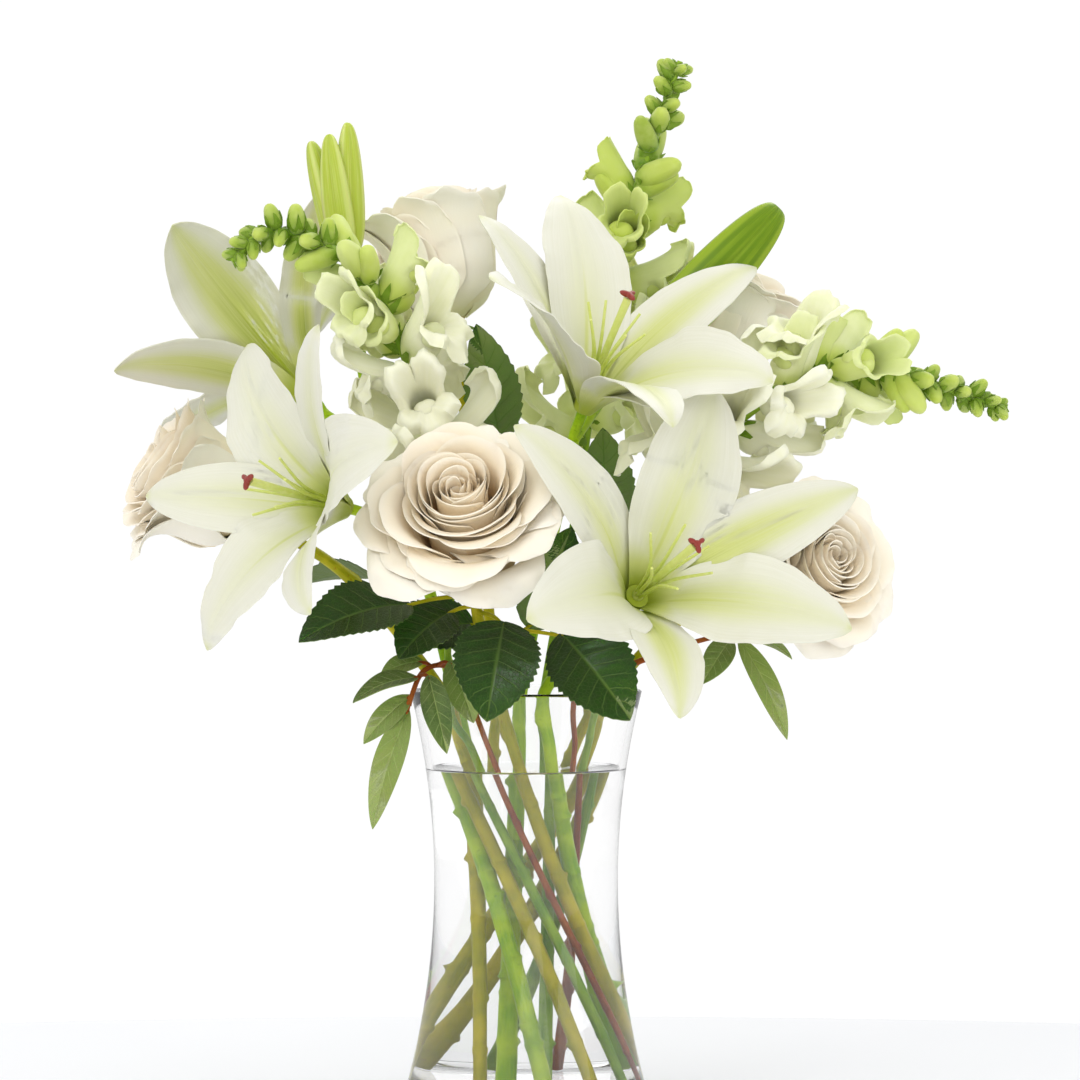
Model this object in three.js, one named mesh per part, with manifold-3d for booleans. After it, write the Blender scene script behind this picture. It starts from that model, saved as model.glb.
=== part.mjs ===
// Lilies in a vase: white lilies, cream roses and snapdragons with rose leaves and two leafy sprigs,
// their stems crossing in the water of a waisted clear glass vase.
// Millimetres, +Z up. The origin is the centre of the vase's flat underside, and -Y is the front.
import * as THREE from "three";
import { mergeVertices } from "three/addons/utils/BufferGeometryUtils.js";
import Module from "manifold-3d";

const wasm = await Module();
wasm.setup();

// ---------------------------------------------------------------- driving dimensions
const VASE = {
  height: 190,
  waistRadius: 40.8,
  waistHeight: 105,
  flare: 0.0015, // radius gained per square millimetre above or below the waist
  wall: 3,
  floor: 12,
  heel: 3,
};
const VASE_SIDES = 24;
const WATER_LEVEL = 155;
const GAP = 0.3; // between pieces that touch
const SPIRAL = 48; // degrees that each stem's foot lags behind the far side of its place at the rim
const FOOT_RADIUS = 43;
const RIM_RADIUS = 38;
const STRAIGHT = 0.86; // share of the way from the foot to the rim on which a stem is straight
const GOLDEN = 137.508; // degrees from one petal or floret to the next
const STEM_RADIUS = { rose: 3.1, lily: 3.9, snapdragon: 2.6, sprig: 1.7 };
const PETAL_THICKNESS = 0.9;
const LEAF_THICKNESS = 0.8;
const STALK_WIDTH = 1.8;

const TEPAL = { throat: 3.5, layer: 0.95, leanFoot: 29 };
const LILY_CORE = { radius: 5.2, bottom: -1, top: 6 };

const COLOURS = {
  glass: 0xe6efec,
  water: 0xe3eeea,
  rose: 0xf4ead6,
  lily: 0xf3f4e6,
  bud: 0x9fb83a,
  style: 0xc9d46a,
  stigma: 0x8f3528,
  snapdragon: 0xd5dfa6,
  stem: 0x7f9434,
  leaf: 0x2f5220,
  sprigLeaf: 0x7c9150,
};

// ---------------------------------------------------------------- small geometry helpers
const vec = (x, y, z) => new THREE.Vector3(x, y, z);
const mix = (a, b, t) => a + (b - a) * t;
const clamp = (t) => Math.min(1, Math.max(0, t));
const smooth = (t) => clamp(t) ** 2 * (3 - 2 * clamp(t));
const rad = THREE.MathUtils.degToRad;
const polar = (radius, turn, z) => vec(radius * Math.cos(rad(turn)), radius * Math.sin(rad(turn)), z);
// The same value between 0 and 1 for the same number, so that no two builds differ.
const scatter = (n) => (Math.abs(Math.sin(n * 12.9898 + 4.137)) * 4375.85) % 1;

// A closed geometry as a solid whose faces point out.
function solidFrom(geometry) {
  const bare = geometry.clone();
  bare.deleteAttribute("normal");
  bare.deleteAttribute("uv");
  const merged = mergeVertices(bare, 1e-4);
  const make = (triVerts) =>
    new wasm.Manifold(
      new wasm.Mesh({ numProp: 3, vertProperties: merged.attributes.position.array, triVerts }),
    );
  const triangles = new Uint32Array(merged.index.array);
  const solid = make(triangles);
  return solid.volume() > 0 ? solid : make(triangles.reverse());
}

// Moves every vertex of a three.js geometry by a rule.
function warp(geometry, rule) {
  const position = geometry.attributes.position;
  for (let i = 0; i < position.count; i++) {
    const p = rule(position.getX(i), position.getY(i), position.getZ(i));
    position.setXYZ(i, p.x, p.y, p.z);
  }
  return geometry;
}

const fuse = (solids) => wasm.Manifold.union(solids);

// The largest body of a solid: what a cut leaves loose is dropped.
function largest(solid) {
  return solid.decompose().reduce((a, b) => (a.volume() > b.volume() ? a : b));
}

// A thin closed sheet. place(s, a) gives its middle surface: s goes from 0 to 1 along, a from -1 to 1 across.
function sheet(place, across, along, thickness) {
  const flat = new THREE.PlaneGeometry(2, 1, across, along);
  const position = flat.attributes.position;
  const count = position.count;
  const vertices = new Float32Array(count * 6);
  const step = 0.01;
  for (let i = 0; i < count; i++) {
    const s = position.getY(i) + 0.5;
    const a = position.getX(i);
    const alongWay = place(Math.min(s + step, 1), a).sub(place(Math.max(s - step, 0), a));
    const acrossWay = place(s, Math.min(a + step, 1)).sub(place(s, Math.max(a - step, -1)));
    const out = acrossWay.cross(alongWay).normalize().multiplyScalar(thickness / 2);
    const middle = place(s, a);
    middle.clone().add(out).toArray(vertices, i * 3);
    middle.clone().sub(out).toArray(vertices, (count + i) * 3);
  }
  const front = [...flat.index.array];
  const triangles = [...front];
  for (let i = 0; i < front.length; i += 3) {
    triangles.push(count + front[i], count + front[i + 2], count + front[i + 1]);
  }
  // The rim joins each outer edge of the front to its twin at the back.
  const edges = new Map();
  for (let i = 0; i < front.length; i += 3) {
    for (let k = 0; k < 3; k++) {
      const [a, b] = [front[i + k], front[i + ((k + 1) % 3)]];
      if (edges.has(b + "," + a)) edges.delete(b + "," + a);
      else edges.set(a + "," + b, [a, b]);
    }
  }
  for (const [a, b] of edges.values()) {
    triangles.push(b, a, count + a, b, count + a, count + b);
  }
  const geometry = new THREE.BufferGeometry();
  geometry.setAttribute("position", new THREE.BufferAttribute(vertices, 3));
  geometry.setIndex(triangles);
  return solidFrom(geometry);
}

// A closed round bar through points, with a radius at each.
function bar(points, radiusAt, sides) {
  const last = points.length - 1;
  const tangents = points.map((p, i) =>
    points[Math.min(i + 1, last)].clone().sub(points[Math.max(i - 1, 0)]).normalize(),
  );
  const sideways = [];
  let side = Math.abs(tangents[0].z) > 0.9 ? vec(1, 0, 0) : vec(0, 0, 1);
  for (const tangent of tangents) {
    side = side.clone().addScaledVector(tangent, -side.dot(tangent)).normalize();
    sideways.push(side);
  }
  const tube = new THREE.CylinderGeometry(1, 1, 1, sides, last);
  return solidFrom(
    warp(tube, (x, y, z) => {
      const i = Math.round((y + 0.5) * last);
      const other = sideways[i].clone().cross(tangents[i]);
      const radius = radiusAt(i / last);
      return points[i].clone().addScaledVector(sideways[i], x * radius).addScaledVector(other, z * radius);
    }),
  );
}

// An egg or spindle along +Z from 0 to length. swell(s) scales the radius along the way.
function spindle(length, radius, sides, rings, swell = (s) => Math.sin(Math.PI * s)) {
  const ball = new THREE.SphereGeometry(1, sides, rings);
  return solidFrom(
    warp(ball, (x, y, z) => {
      const s = (1 - y) / 2;
      const round = Math.hypot(x, z);
      const r = round < 1e-6 ? 0 : (radius * swell(clamp(Math.acos(1 - 2 * s) / Math.PI))) / round;
      return vec(x * r, -z * r, s * length);
    }),
  );
}

// The turn that takes local +Z to facing, with local +X level and to the right of who faces the piece.
function turnTo(facing, origin) {
  const z = facing.clone().normalize();
  const x = vec(0, 0, 1).cross(z);
  if (x.length() < 0.01) x.set(1, 0, 0);
  x.normalize();
  return new THREE.Matrix4().makeBasis(x, z.clone().cross(x), z).setPosition(origin);
}

const placed = (solid, matrix) => solid.transform(matrix.elements);
const curveThrough = (points) => new THREE.CatmullRomCurve3(points, false, "catmullrom", 0.5);

// A curve's points, with steps of them from each control point to the next.
function sampled(controls, steps) {
  const curve = curveThrough(controls);
  const count = (controls.length - 1) * steps;
  return Array.from({ length: count + 1 }, (_, i) => curve.getPoint(i / count));
}

// ---------------------------------------------------------------- vase and water
const vaseRadius = (z) => VASE.waistRadius + VASE.flare * (z - VASE.waistHeight) ** 2;

function lathe(profile, segments) {
  const outline = profile.map(([r, z]) => new THREE.Vector2(r, z));
  return solidFrom(new THREE.LatheGeometry(outline, segments).rotateX(Math.PI / 2));
}

function vaseGlass(segments) {
  const { height, wall, floor, heel } = VASE;
  const lip = wall / 2;
  const levels = [38, 82, 126, 164];
  const inside = [...levels].reverse().map((z) => [vaseRadius(z) - wall, z]);
  return lathe(
    [
      [0, 0],
      [vaseRadius(0) - heel, 0],
      [vaseRadius(heel), heel],
      ...levels.map((z) => [vaseRadius(z), z]),
      [vaseRadius(height), height - lip],
      [vaseRadius(height) - lip, height],
      [vaseRadius(height) - wall, height - lip],
      ...inside,
      [vaseRadius(floor) - wall, floor + heel],
      [vaseRadius(floor) - wall - heel, floor],
      [0, floor],
    ],
    segments,
  );
}

// The water fills the vase to its level, a hair inside the glass, before the stems' holes are cut.
function waterBody(segments) {
  const { wall, floor, heel } = VASE;
  const inset = wall + GAP + 0.1; // the glass wall's chords bulge inwards
  const levels = [38, 82, 126, WATER_LEVEL];
  return lathe(
    [
      [0, floor + GAP],
      [vaseRadius(floor) - inset - heel, floor + GAP],
      [vaseRadius(floor) - inset, floor + heel + GAP],
      ...levels.map((z) => [vaseRadius(z) - inset, z]),
      [0, WATER_LEVEL],
    ],
    segments,
  );
}

// ---------------------------------------------------------------- stems
// Where a stem stands on the vase floor and where it passes the rim. Ring stems lean all one way round.
function stemEnds({ rim, root }, radius) {
  const from = root ? vec(...root, 0) : polar(FOOT_RADIUS, rim + 180 - SPIRAL, 0);
  const to = root ? vec(...rim, VASE.height) : polar(RIM_RADIUS, rim, VASE.height);
  return [from.setZ(VASE.floor + GAP + 0.42 * radius), to];
}

// A stem's points: straight through the water, then curved from below the rim to its top.
function stemPoints(entry, radius, steps) {
  const [from, to] = stemEnds(entry, radius);
  const above = from.clone().lerp(to, STRAIGHT);
  const curved = sampled([above, to, ...entry.via.map((p) => vec(...p))], steps);
  return [from, above, ...curved.slice(steps)];
}

const stemSides = (radius) => (radius > 3.5 ? 6 : 5);

function stemBar(points, radius, topRadius) {
  return bar(points, (s) => mix(radius, topRadius, s), stemSides(radius));
}

// The straight hole for a stem in the water, from under its foot to above the surface.
function stemHole(entry, radius) {
  const [from, to] = stemEnds(entry, radius);
  const top = from.clone().lerp(to, STRAIGHT);
  const foot = from.clone().lerp(to, -0.02);
  return bar([foot, top], () => radius + GAP + 0.1, stemSides(radius));
}

// ---------------------------------------------------------------- leaves
// root: where its stalk leaves the stem. base, tip: the blade's ends. face: the way its upper side looks.
// arch: how far its middle rises from the line between them. teeth: the notches of each edge.
function leafSurface({ base, tip, face, width, arch = 0.1, teeth = 0 }, root, rows) {
  const from = vec(...base);
  const to = vec(...tip);
  const length = from.distanceTo(to);
  const way = to.clone().sub(from).normalize();
  const up = vec(...face).addScaledVector(way, -vec(...face).dot(way)).normalize();
  const side = way.clone().cross(up);
  const blade = (s, a) => {
    const outline = 2.05 * s ** 0.62 * (1 - s) ** 0.82; // widest two fifths of the way along
    const notch = teeth && Math.round(s * rows) % 2 === 0 ? 0.82 : 1;
    const reach = Math.max((width / 2) * outline * notch, STALK_WIDTH / 2);
    const rise = arch * length * 4 * s * (1 - s) + 0.22 * (reach - STALK_WIDTH / 2) * Math.abs(a);
    return from
      .clone()
      .addScaledVector(way, s * length)
      .addScaledVector(side, a * reach)
      .addScaledVector(up, rise);
  };
  return (s, a) => {
    const row = s * (rows + 1) - 1;
    if (row >= 0) return blade(row / rows, a);
    return root.clone().lerp(from, row + 1).addScaledVector(side, (a * STALK_WIDTH) / 2);
  };
}

// Leaves grown from the nearest points of their stem.
function leavesOn(points, leaves) {
  return leaves.map((leaf) => {
    const rows = leaf.teeth ? leaf.teeth * 2 : 3;
    const root = nearest(points, vec(...leaf.base));
    return sheet(leafSurface(leaf, root, rows), 2, rows + 1, LEAF_THICKNESS);
  });
}

function nearest(points, place) {
  return points.reduce((a, b) => (a.distanceTo(place) < b.distanceTo(place) ? a : b));
}

// ---------------------------------------------------------------- lily
// A midline that starts at leanFoot degrees from the axis and ends at leanTip:
// at s of the way it is [out from the axis, up along it, its lean there].
function midline(s, length, leanFoot, leanTip, power) {
  const steps = 16;
  let out = 0;
  let up = 0;
  for (let i = 0; i < steps; i++) {
    const lean = rad(mix(leanFoot, leanTip, (((i + 0.5) / steps) * s) ** power));
    out += (Math.sin(lean) * length * s) / steps;
    up += (Math.cos(lean) * length * s) / steps;
  }
  return [out, up, rad(mix(leanFoot, leanTip, s ** power))];
}

const tepalOutline = (s) => 0.25 * (1 - s) ** 2 + 2.6 * s ** 0.7 * (1 - s) ** 0.75 + 0.03;

// One tepal in its bloom's frame. The feet of the six form a tube of two layers, three broad waved tepals
// inside and three narrow ones outside; towards the tips each spreads flat.
function tepalSurface({ turn, length, width, leanTip, twist, inner, phase }) {
  return (s, a) => {
    const [out, up, tilt] = midline(s, length, TEPAL.leanFoot, leanTip, 1.1);
    const r = TEPAL.throat + out;
    const free = (width / 2) * tepalOutline(s);
    const tube = r * (inner ? 0.95 : 0.85);
    const reach = (free ** -4 + tube ** -4) ** -0.25;
    const flat = smooth(s / 0.4);
    const angle = (reach * a) / r;
    const ripple = Math.sin(12 * s + phase + (a > 0 ? 1.7 : 0));
    const wave = inner ? 0.2 * ripple * smooth((s - 0.15) / 0.3) * (1 - s) : 0;
    const cup = inner ? 0.32 * (1 - s) + 0.04 - 0.16 * s * s : 0.1 - 0.2 * s * s;
    const curl = reach * (cup + wave) * a * a + twist * reach * a;
    const lift = (inner ? TEPAL.layer : -TEPAL.layer) + curl * flat;
    const stand = lift * Math.cos(tilt);
    const x = mix((r - stand) * Math.cos(angle), r - stand, flat);
    const y = mix((r - stand) * Math.sin(angle), reach * a, flat);
    return vec(
      x * Math.cos(rad(turn)) - y * Math.sin(rad(turn)),
      x * Math.sin(rad(turn)) + y * Math.cos(rad(turn)),
      up + lift * Math.sin(tilt),
    );
  };
}

function lilyBloom(bloom) {
  const core = bar([vec(0, 0, LILY_CORE.bottom), vec(0, 0, LILY_CORE.top)], () => LILY_CORE.radius, 7);
  const tepals = bloom.tepals.map(([turn, length, leanTip, twist = 0], k) => {
    const inner = k % 2 === 0;
    const width = bloom.width * (inner ? 1 : 0.72);
    const surface = tepalSurface({ turn, length, width, leanTip, twist, inner, phase: k * 1.3 });
    return sheet(surface, inner ? 4 : 2, 4, PETAL_THICKNESS);
  });
  return placed(fuse([core, ...tepals]), turnTo(vec(...bloom.facing), vec(...bloom.foot)));
}

// The pistil and six bare filaments on their common disc, standing in the throat.
function lilyStyle(bloom) {
  const floor = LILY_CORE.top + GAP;
  const length = bloom.pistil;
  const disc = bar([vec(0, 0, floor), vec(0, 0, floor + 3)], () => 2.6, 6);
  const tip = vec(2, 0, floor + length);
  const style = bar([vec(0, 0, floor + 1), vec(0.5, 0, floor + length / 2), tip], () => 1.4, 4);
  const filaments = bloom.tepals.map(([turn]) => {
    const end = polar(length * 0.3, turn, floor + length * 0.8);
    return bar([polar(1.3, turn, floor + 2), end], (s) => mix(0.9, 0.6, s), 3);
  });
  return placed(fuse([disc, style, ...filaments]), turnTo(vec(...bloom.facing), vec(...bloom.foot)));
}

// The three-lobed stigma at the style's end.
function lilyStigma(bloom) {
  const floor = LILY_CORE.top + GAP + bloom.pistil + GAP;
  const head = new THREE.CylinderGeometry(1, 1, 1, 6, 1);
  const lobes = warp(head, (x, y, z) => {
    const turn = THREE.MathUtils.radToDeg(Math.atan2(z, x));
    const lobe = Math.sin(rad(3 * turn)) > 0;
    const reach = Math.hypot(x, z) < 0.5 ? 0 : lobe ? 4.2 : 1.6;
    return polar(reach, turn, floor + (y > 0 ? 2.6 : lobe ? 0.8 : 0)).add(vec(2, 0, 0));
  });
  return placed(solidFrom(lobes), turnTo(vec(...bloom.facing), vec(...bloom.foot)));
}

// A closed bud, three-sided with rounded edges, bowed towards +X by bow.
function lilyBud({ foot, facing, length, radius, bow = 0 }, sides = 9, rings = 5) {
  const body = spindle(length, radius, sides, rings, (s) => Math.sin(Math.PI * s ** 0.85) ** 0.7 + 0.03);
  const shaped = body.warp((p) => {
    const swell = 1 + 0.09 * Math.cos(3 * Math.atan2(p[1], p[0]));
    const s = p[2] / length;
    p[0] = p[0] * swell + bow * length * 4 * s * (1 - s);
    p[1] *= swell;
  });
  return placed(shaped, turnTo(vec(...facing), vec(...foot)));
}

// Young upright buds on short stalks from one foot.
function budCluster({ foot, tips, radius }) {
  const base = vec(...foot);
  const parts = tips.map((tip) => {
    const way = vec(...tip).sub(base);
    const length = way.length() * 0.86;
    const start = base.clone().lerp(vec(...tip), 0.14);
    const bud = lilyBud({ foot: start.toArray(), facing: way.toArray(), length, radius }, 5, 3);
    return fuse([bud, bar([base, start.clone().lerp(vec(...tip), 0.1)], () => 1.8, 4)]);
  });
  const joint = bar([base.clone().setZ(base.z - 0.5), base.clone().setZ(base.z + 4)], () => 3, 6);
  return fuse([joint, ...parts]);
}

// ---------------------------------------------------------------- rose
// Petals stand in whorls, each a cup around the one before it: closed at the heart (opening 0) and wide at
// the outside (opening 1). Within a whorl each petal has one edge under its neighbour.
const WHORLS = [
  { count: 3, opening: 0.1, columns: 2 },
  { count: 4, opening: 0.5, columns: 2 },
  { count: 5, opening: 1, columns: 3 },
];

// One petal in its bloom's frame. Those below the heart droop further.
function rosePetalSurface({ count, opening: f }, turn, bloom) {
  const length = bloom.height * mix(0.92, 1.06, f);
  const foot = mix(1.5, 7, f);
  const lift = mix(5, 0.6, f);
  const droop = -Math.sin(rad(turn));
  const leanFoot = mix(8, 66 + 8 * droop, f ** 0.75);
  const leanSide = mix(-3, 12, f) * bloom.open;
  const leanRim = mix(-12, 92 + 26 * droop, f ** 1.5) * bloom.open;
  const lowerLean = (s) => mix(leanFoot, leanSide, smooth(s / 0.5));
  const leanAt = (s) => rad(mix(lowerLean(s), leanRim, smooth((s - 0.5) / 0.5)));
  const share = Math.PI / count;
  return (s, a) => {
    const steps = 12;
    const rows = s * (1 - 0.06 * a * a);
    let r = foot;
    let z = lift;
    for (let i = 0; i < steps; i++) {
      const lean = leanAt(((i + 0.5) / steps) * rows);
      r += (Math.sin(lean) * length * rows) / steps;
      z += (Math.cos(lean) * length * rows) / steps;
    }
    const round = 1 - 0.55 * clamp((s - 0.62) / 0.38) ** 2.4;
    const reach = share * mix(0.5, 1.28, smooth((s - 0.05) / 0.4)) * round;
    const tuck = a * mix(1.6, 4, f) * smooth((s - 0.05) / 0.3);
    const angle = rad(turn) + reach * a;
    return vec((r + tuck) * Math.cos(angle), (r + tuck) * Math.sin(angle), z);
  };
}

const ROSE_CORE = { radius: 8.5, height: 7 };

function roseBloom(bloom) {
  const cup = bar([vec(0, 0, 0), vec(0, 0, ROSE_CORE.height)], () => ROSE_CORE.radius, 7);
  const petals = WHORLS.flatMap((whorl, w) =>
    Array.from({ length: whorl.count }, (_, k) => {
      const turn = bloom.turn + GOLDEN * w + (360 / whorl.count) * k;
      return sheet(rosePetalSurface(whorl, turn, bloom), whorl.columns, 3, PETAL_THICKNESS);
    }),
  );
  return placed(fuse([cup, ...petals]), turnTo(vec(...bloom.facing), vec(...bloom.foot)));
}

// The green hip under a rose and its star of five sepals turned back. Its top is a gap below the bloom.
function roseCalyx(bloom) {
  const hip = spindle(11, 5, 6, 3, (s) => Math.sin(Math.PI * s ** 1.3) ** 0.7);
  const star = warp(new THREE.CylinderGeometry(1, 1, 1, 10, 1), (x, y, z) => {
    const k = Math.round((Math.atan2(x, z) * 5) / Math.PI + 10);
    const sepal = k % 2 === 0;
    const turn = bloom.turn + 36 * k;
    if (Math.hypot(x, z) < 0.5) return vec(0, 0, y > 0 ? -2.4 : -3.6);
    return polar(sepal ? 16 : 4.6, turn, (sepal ? -9 : -3.4) + (y > 0 ? 0.5 : -0.5));
  });
  const parts = [placed(hip, new THREE.Matrix4().makeTranslation(0, 0, -11 - GAP)), solidFrom(star)];
  return placed(fuse(parts), turnTo(vec(...bloom.facing), vec(...bloom.foot)));
}

// ---------------------------------------------------------------- snapdragon
// The mouth of an open floret: two lobes stand up at the back and three spread in front, with dips between.
const MOUTH = [
  { turn: 352, reach: 6.5, height: 18 },
  { turn: 52, reach: 12, height: 26 },
  { turn: 90, reach: 7.5, height: 22 },
  { turn: 128, reach: 12, height: 26 },
  { turn: 188, reach: 6.5, height: 18 },
  { turn: 222, reach: 12, height: 16 },
  { turn: 270, reach: 13, height: 13 },
  { turn: 318, reach: 12, height: 16 },
];

// An open floret along +Z with its upper lip towards +Y: a pouch that widens to the lobed mouth, which is
// hollowed so that the lobes stand free.
function openFloret() {
  const sides = MOUTH.length;
  const tube = new THREE.CylinderGeometry(1, 1, 1, sides, 2);
  return solidFrom(
    warp(tube, (x, y, z) => {
      const k = (Math.round((Math.atan2(x, z) / (2 * Math.PI)) * sides) + sides) % sides;
      const { turn, reach, height } = MOUTH[k];
      if (Math.hypot(x, z) < 0.5) return vec(0, 0, y > 0 ? 12 : 0);
      if (y < -0.25) return vec(0, 0, 0);
      if (y < 0.25) return polar(5.4, turn, 10);
      return polar(reach, turn, height);
    }),
  );
}

function closedBud(length, radius, rings) {
  return spindle(length, radius, 4, rings, (s) => Math.sin(Math.PI * s ** 0.8) ** 0.75);
}

// Florets up a spike: open below, then swelling, then green buds to the tip. The lowest look outwards most.
const FLORET = { leanLow: 70, leanHigh: 30, leanScatter: 8, sink: 0.4, top: 0.985 };

function snapdragonSpike(points, { from, open, swelling, buds, turn, size }) {
  const curve = new THREE.CatmullRomCurve3(points.slice(1));
  const florets = open + swelling + buds;
  const parts = [];
  for (let i = 0; i < florets; i++) {
    const way = i / (florets - 1);
    const at = mix(from, FLORET.top, way);
    const root = curve.getPointAt(at);
    const stemWay = curve.getTangentAt(at);
    const level = vec(0, 0, 1).cross(stemWay).normalize();
    const other = stemWay.clone().cross(level);
    const round = rad(turn + GOLDEN * i);
    const outward = level.multiplyScalar(Math.cos(round)).addScaledVector(other, Math.sin(round));
    const lean = rad(mix(FLORET.leanLow, FLORET.leanHigh, way) + FLORET.leanScatter * scatter(i));
    const facing = stemWay.clone().multiplyScalar(Math.cos(lean)).addScaledVector(outward, Math.sin(lean));
    // The floret's upper lip is on the side that looks up the spike.
    const lip = stemWay.clone().addScaledVector(facing, -stemWay.dot(facing)).normalize();
    root.addScaledVector(facing, -FLORET.sink);
    const matrix = new THREE.Matrix4().makeBasis(lip.clone().cross(facing), lip, facing).setPosition(root);
    const stage = i < open ? "open" : i < open + swelling ? "swelling" : "bud";
    const floret = {
      open: () => {
        const scale = size * mix(1.15, 0.9, i / open);
        return placed(openFloret(), new THREE.Matrix4().makeScale(scale, scale, scale));
      },
      swelling: () => closedBud(size * mix(24, 17, (i - open) / swelling), size * 6.2, 3),
      bud: () => closedBud(size * mix(14, 8, (i - open - swelling) / buds), size * mix(5.4, 3.6, way), 2),
    };
    parts.push(placed(floret[stage](), matrix));
  }
  return parts;
}

// ---------------------------------------------------------------- the arrangement
const ROSES = [
  {
    foot: [-23, -59, 246], facing: [-0.1, -0.77, 0.63], radius: 45, height: 57, open: 1, turn: 20,
    rim: 251, via: [[-20, -47, 220], [-22, -51.2, 239.8]],
    leaves: [
      { base: [-49, -58, 229], tip: [-95, -84, 214], face: [-0.1, -0.75, 0.65], width: 42, teeth: 3 },
      { base: [-32, -48, 226], tip: [-54, -62, 206], face: [-0.2, -0.8, 0.5], width: 38, teeth: 2 },
      { base: [-9, -72, 222], tip: [-16, -92, 181], face: [0, -0.95, 0.3], width: 50, teeth: 4 },
      { base: [15, -66, 217], tip: [44, -82, 181], face: [0.05, -0.95, 0.3], width: 50, teeth: 4 },
      { base: [2, -34, 218], tip: [20, -38, 262], face: [0.1, -0.95, 0.1], width: 36, teeth: 2 },
      { base: [-22, -32, 220], tip: [-52, -40, 214], face: [-0.1, -0.8, 0.6], width: 40, teeth: 2 },
    ],
  },
  {
    foot: [-124, 22, 268], facing: [-0.84, -0.2, 0.48], radius: 42, height: 54, open: 0.85, turn: 75,
    rim: 180, via: [[-78, 14, 238], [-115.5, 24, 263.2]],
    leaves: [{ base: [-62, 22, 236], tip: [-104, 50, 236], face: [-0.3, 0.5, 0.8], width: 36, teeth: 2 }],
  },
  {
    foot: [-34, 32, 356], facing: [-0.17, 0.1, 0.98], radius: 38, height: 58, open: 0.5, turn: 130,
    rim: 112, via: [[-22, 40, 270], [-32.4, 31, 346.6]],
    leaves: [
      { base: [-14, 52, 262], tip: [-22, 100, 250], face: [0, 0.3, 0.95], width: 38, teeth: 2 },
      { base: [-12, 14, 300], tip: [-22, -6, 352], face: [0.1, -0.95, 0.2], width: 36, teeth: 2 },
      { base: [-46, 44, 268], tip: [-78, 82, 262], face: [-0.2, 0.4, 0.9], width: 34, teeth: 2 },
    ],
  },
  {
    foot: [110, -12, 236], facing: [0.5, -0.8, 0.3], radius: 45, height: 50, open: 0.95, turn: 200,
    rim: 357, via: [[72, 0, 224], [105, -4, 233]],
    leaves: [{ base: [78, 16, 232], tip: [120, 38, 228], face: [0.2, 0.3, 0.9], width: 36, teeth: 2 }],
  },
  {
    foot: [84, 66, 333], facing: [0.3, 0.2, 0.93], radius: 40, height: 50, open: 0.8, turn: 310,
    rim: 30, via: [[56, 46, 270], [81.2, 64, 324.2]],
    leaves: [
      { base: [52, 42, 250], tip: [72, 90, 244], face: [0.1, 0.3, 0.95], width: 38, teeth: 2 },
      { base: [24, 40, 226], tip: [20, 92, 212], face: [0, 0.4, 0.9], width: 38, teeth: 2 },
      { base: [34, 16, 262], tip: [34, -6, 306], face: [0.1, -0.95, 0.2], width: 38, teeth: 2 },
    ],
  },
];

// tepals: [turn, length, lean of the tip, twist] of each, inner and outer in turn. The twist is how far one
// edge rises for each millimetre across.
const LILIES = [
  {
    foot: [45.3, -54, 230], facing: [0.4, -0.81, 0.41], width: 45, pistil: 52,
    tepals: [[68, 102, 88], [138, 105, 91], [201, 104, 85], [253, 101, 74], [330, 98, 74], [17, 112, 84]],
  },
  {
    foot: [25.4, -24, 314], facing: [0.3, -0.48, 0.82], width: 42, pistil: 50,
    tepals: [[81, 109, 86], [122, 97, 74], [190, 107, 66], [257, 106, 94], [300, 96, 76, 0.5], [17, 108, 78]],
  },
  {
    foot: [-77.6, -44, 270.4], facing: [-0.73, -0.6, 0.2], width: 42, pistil: 46,
    tepals: [[126, 93, 108], [185, 92, 72], [246, 88, 99], [318, 101, 84], [11, 104, 100], [60, 95, 74]],
  },
  {
    foot: [-98.4, 36, 322], facing: [-0.62, 0.44, 0.64], width: 42, pistil: 44,
    tepals: [[31, 108, 82], [341, 94, 87], [271, 96, 84], [211, 98, 86], [151, 98, 84], [91, 98, 80]],
  },
];

const LILY_STEMS = [
  { name: "lily_stem_right", rim: 282, via: [[24, -46, 208], [36, -46, 220]], heads: [0] },
  {
    name: "lily_stem_middle", root: [-7, -4], rim: [-2, -8], via: [[10, -8, 250], [21, -17, 300]],
    heads: [1, 4],
  },
  { name: "lily_stem_left", rim: 150, via: [[-48, 10, 250], [-68, 3, 310], [-79, 0, 373]], heads: [2, 3] },
];

const GREEN_BUD = { foot: [50, 19, 338], facing: [0.68, 0.08, 0.73], length: 94, radius: 12.5, bow: -0.03 };
const BUD_CLUSTER = {
  foot: [-79, 0, 374], radius: 6.4,
  tips: [[-96, 3, 434], [-87, -7, 436], [-88, 9, 426], [-79.5, 0, 442]],
};

const SNAPDRAGONS = [
  {
    root: [6, 4], rim: [8, 10], via: [[26, 46, 290], [34, 54, 350], [52, 46, 420], [70, 34, 474]],
    from: 0.44, open: 5, swelling: 8, buds: 5, turn: 40, size: 1.4,
  },
  {
    rim: 330, via: [[62, -22, 272], [96, -20, 310], [142, -16, 332], [212, -12, 314]],
    from: 0.44, open: 7, swelling: 5, buds: 9, turn: 100, size: 1.4,
  },
  {
    rim: 206, via: [[-33, -24, 272], [-48, -34, 322], [-70, -42, 372], [-108, -46, 390], [-126, -50, 376]],
    from: 0.37, open: 8, swelling: 5, buds: 8, turn: 10, size: 1.4,
  },
];

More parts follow.
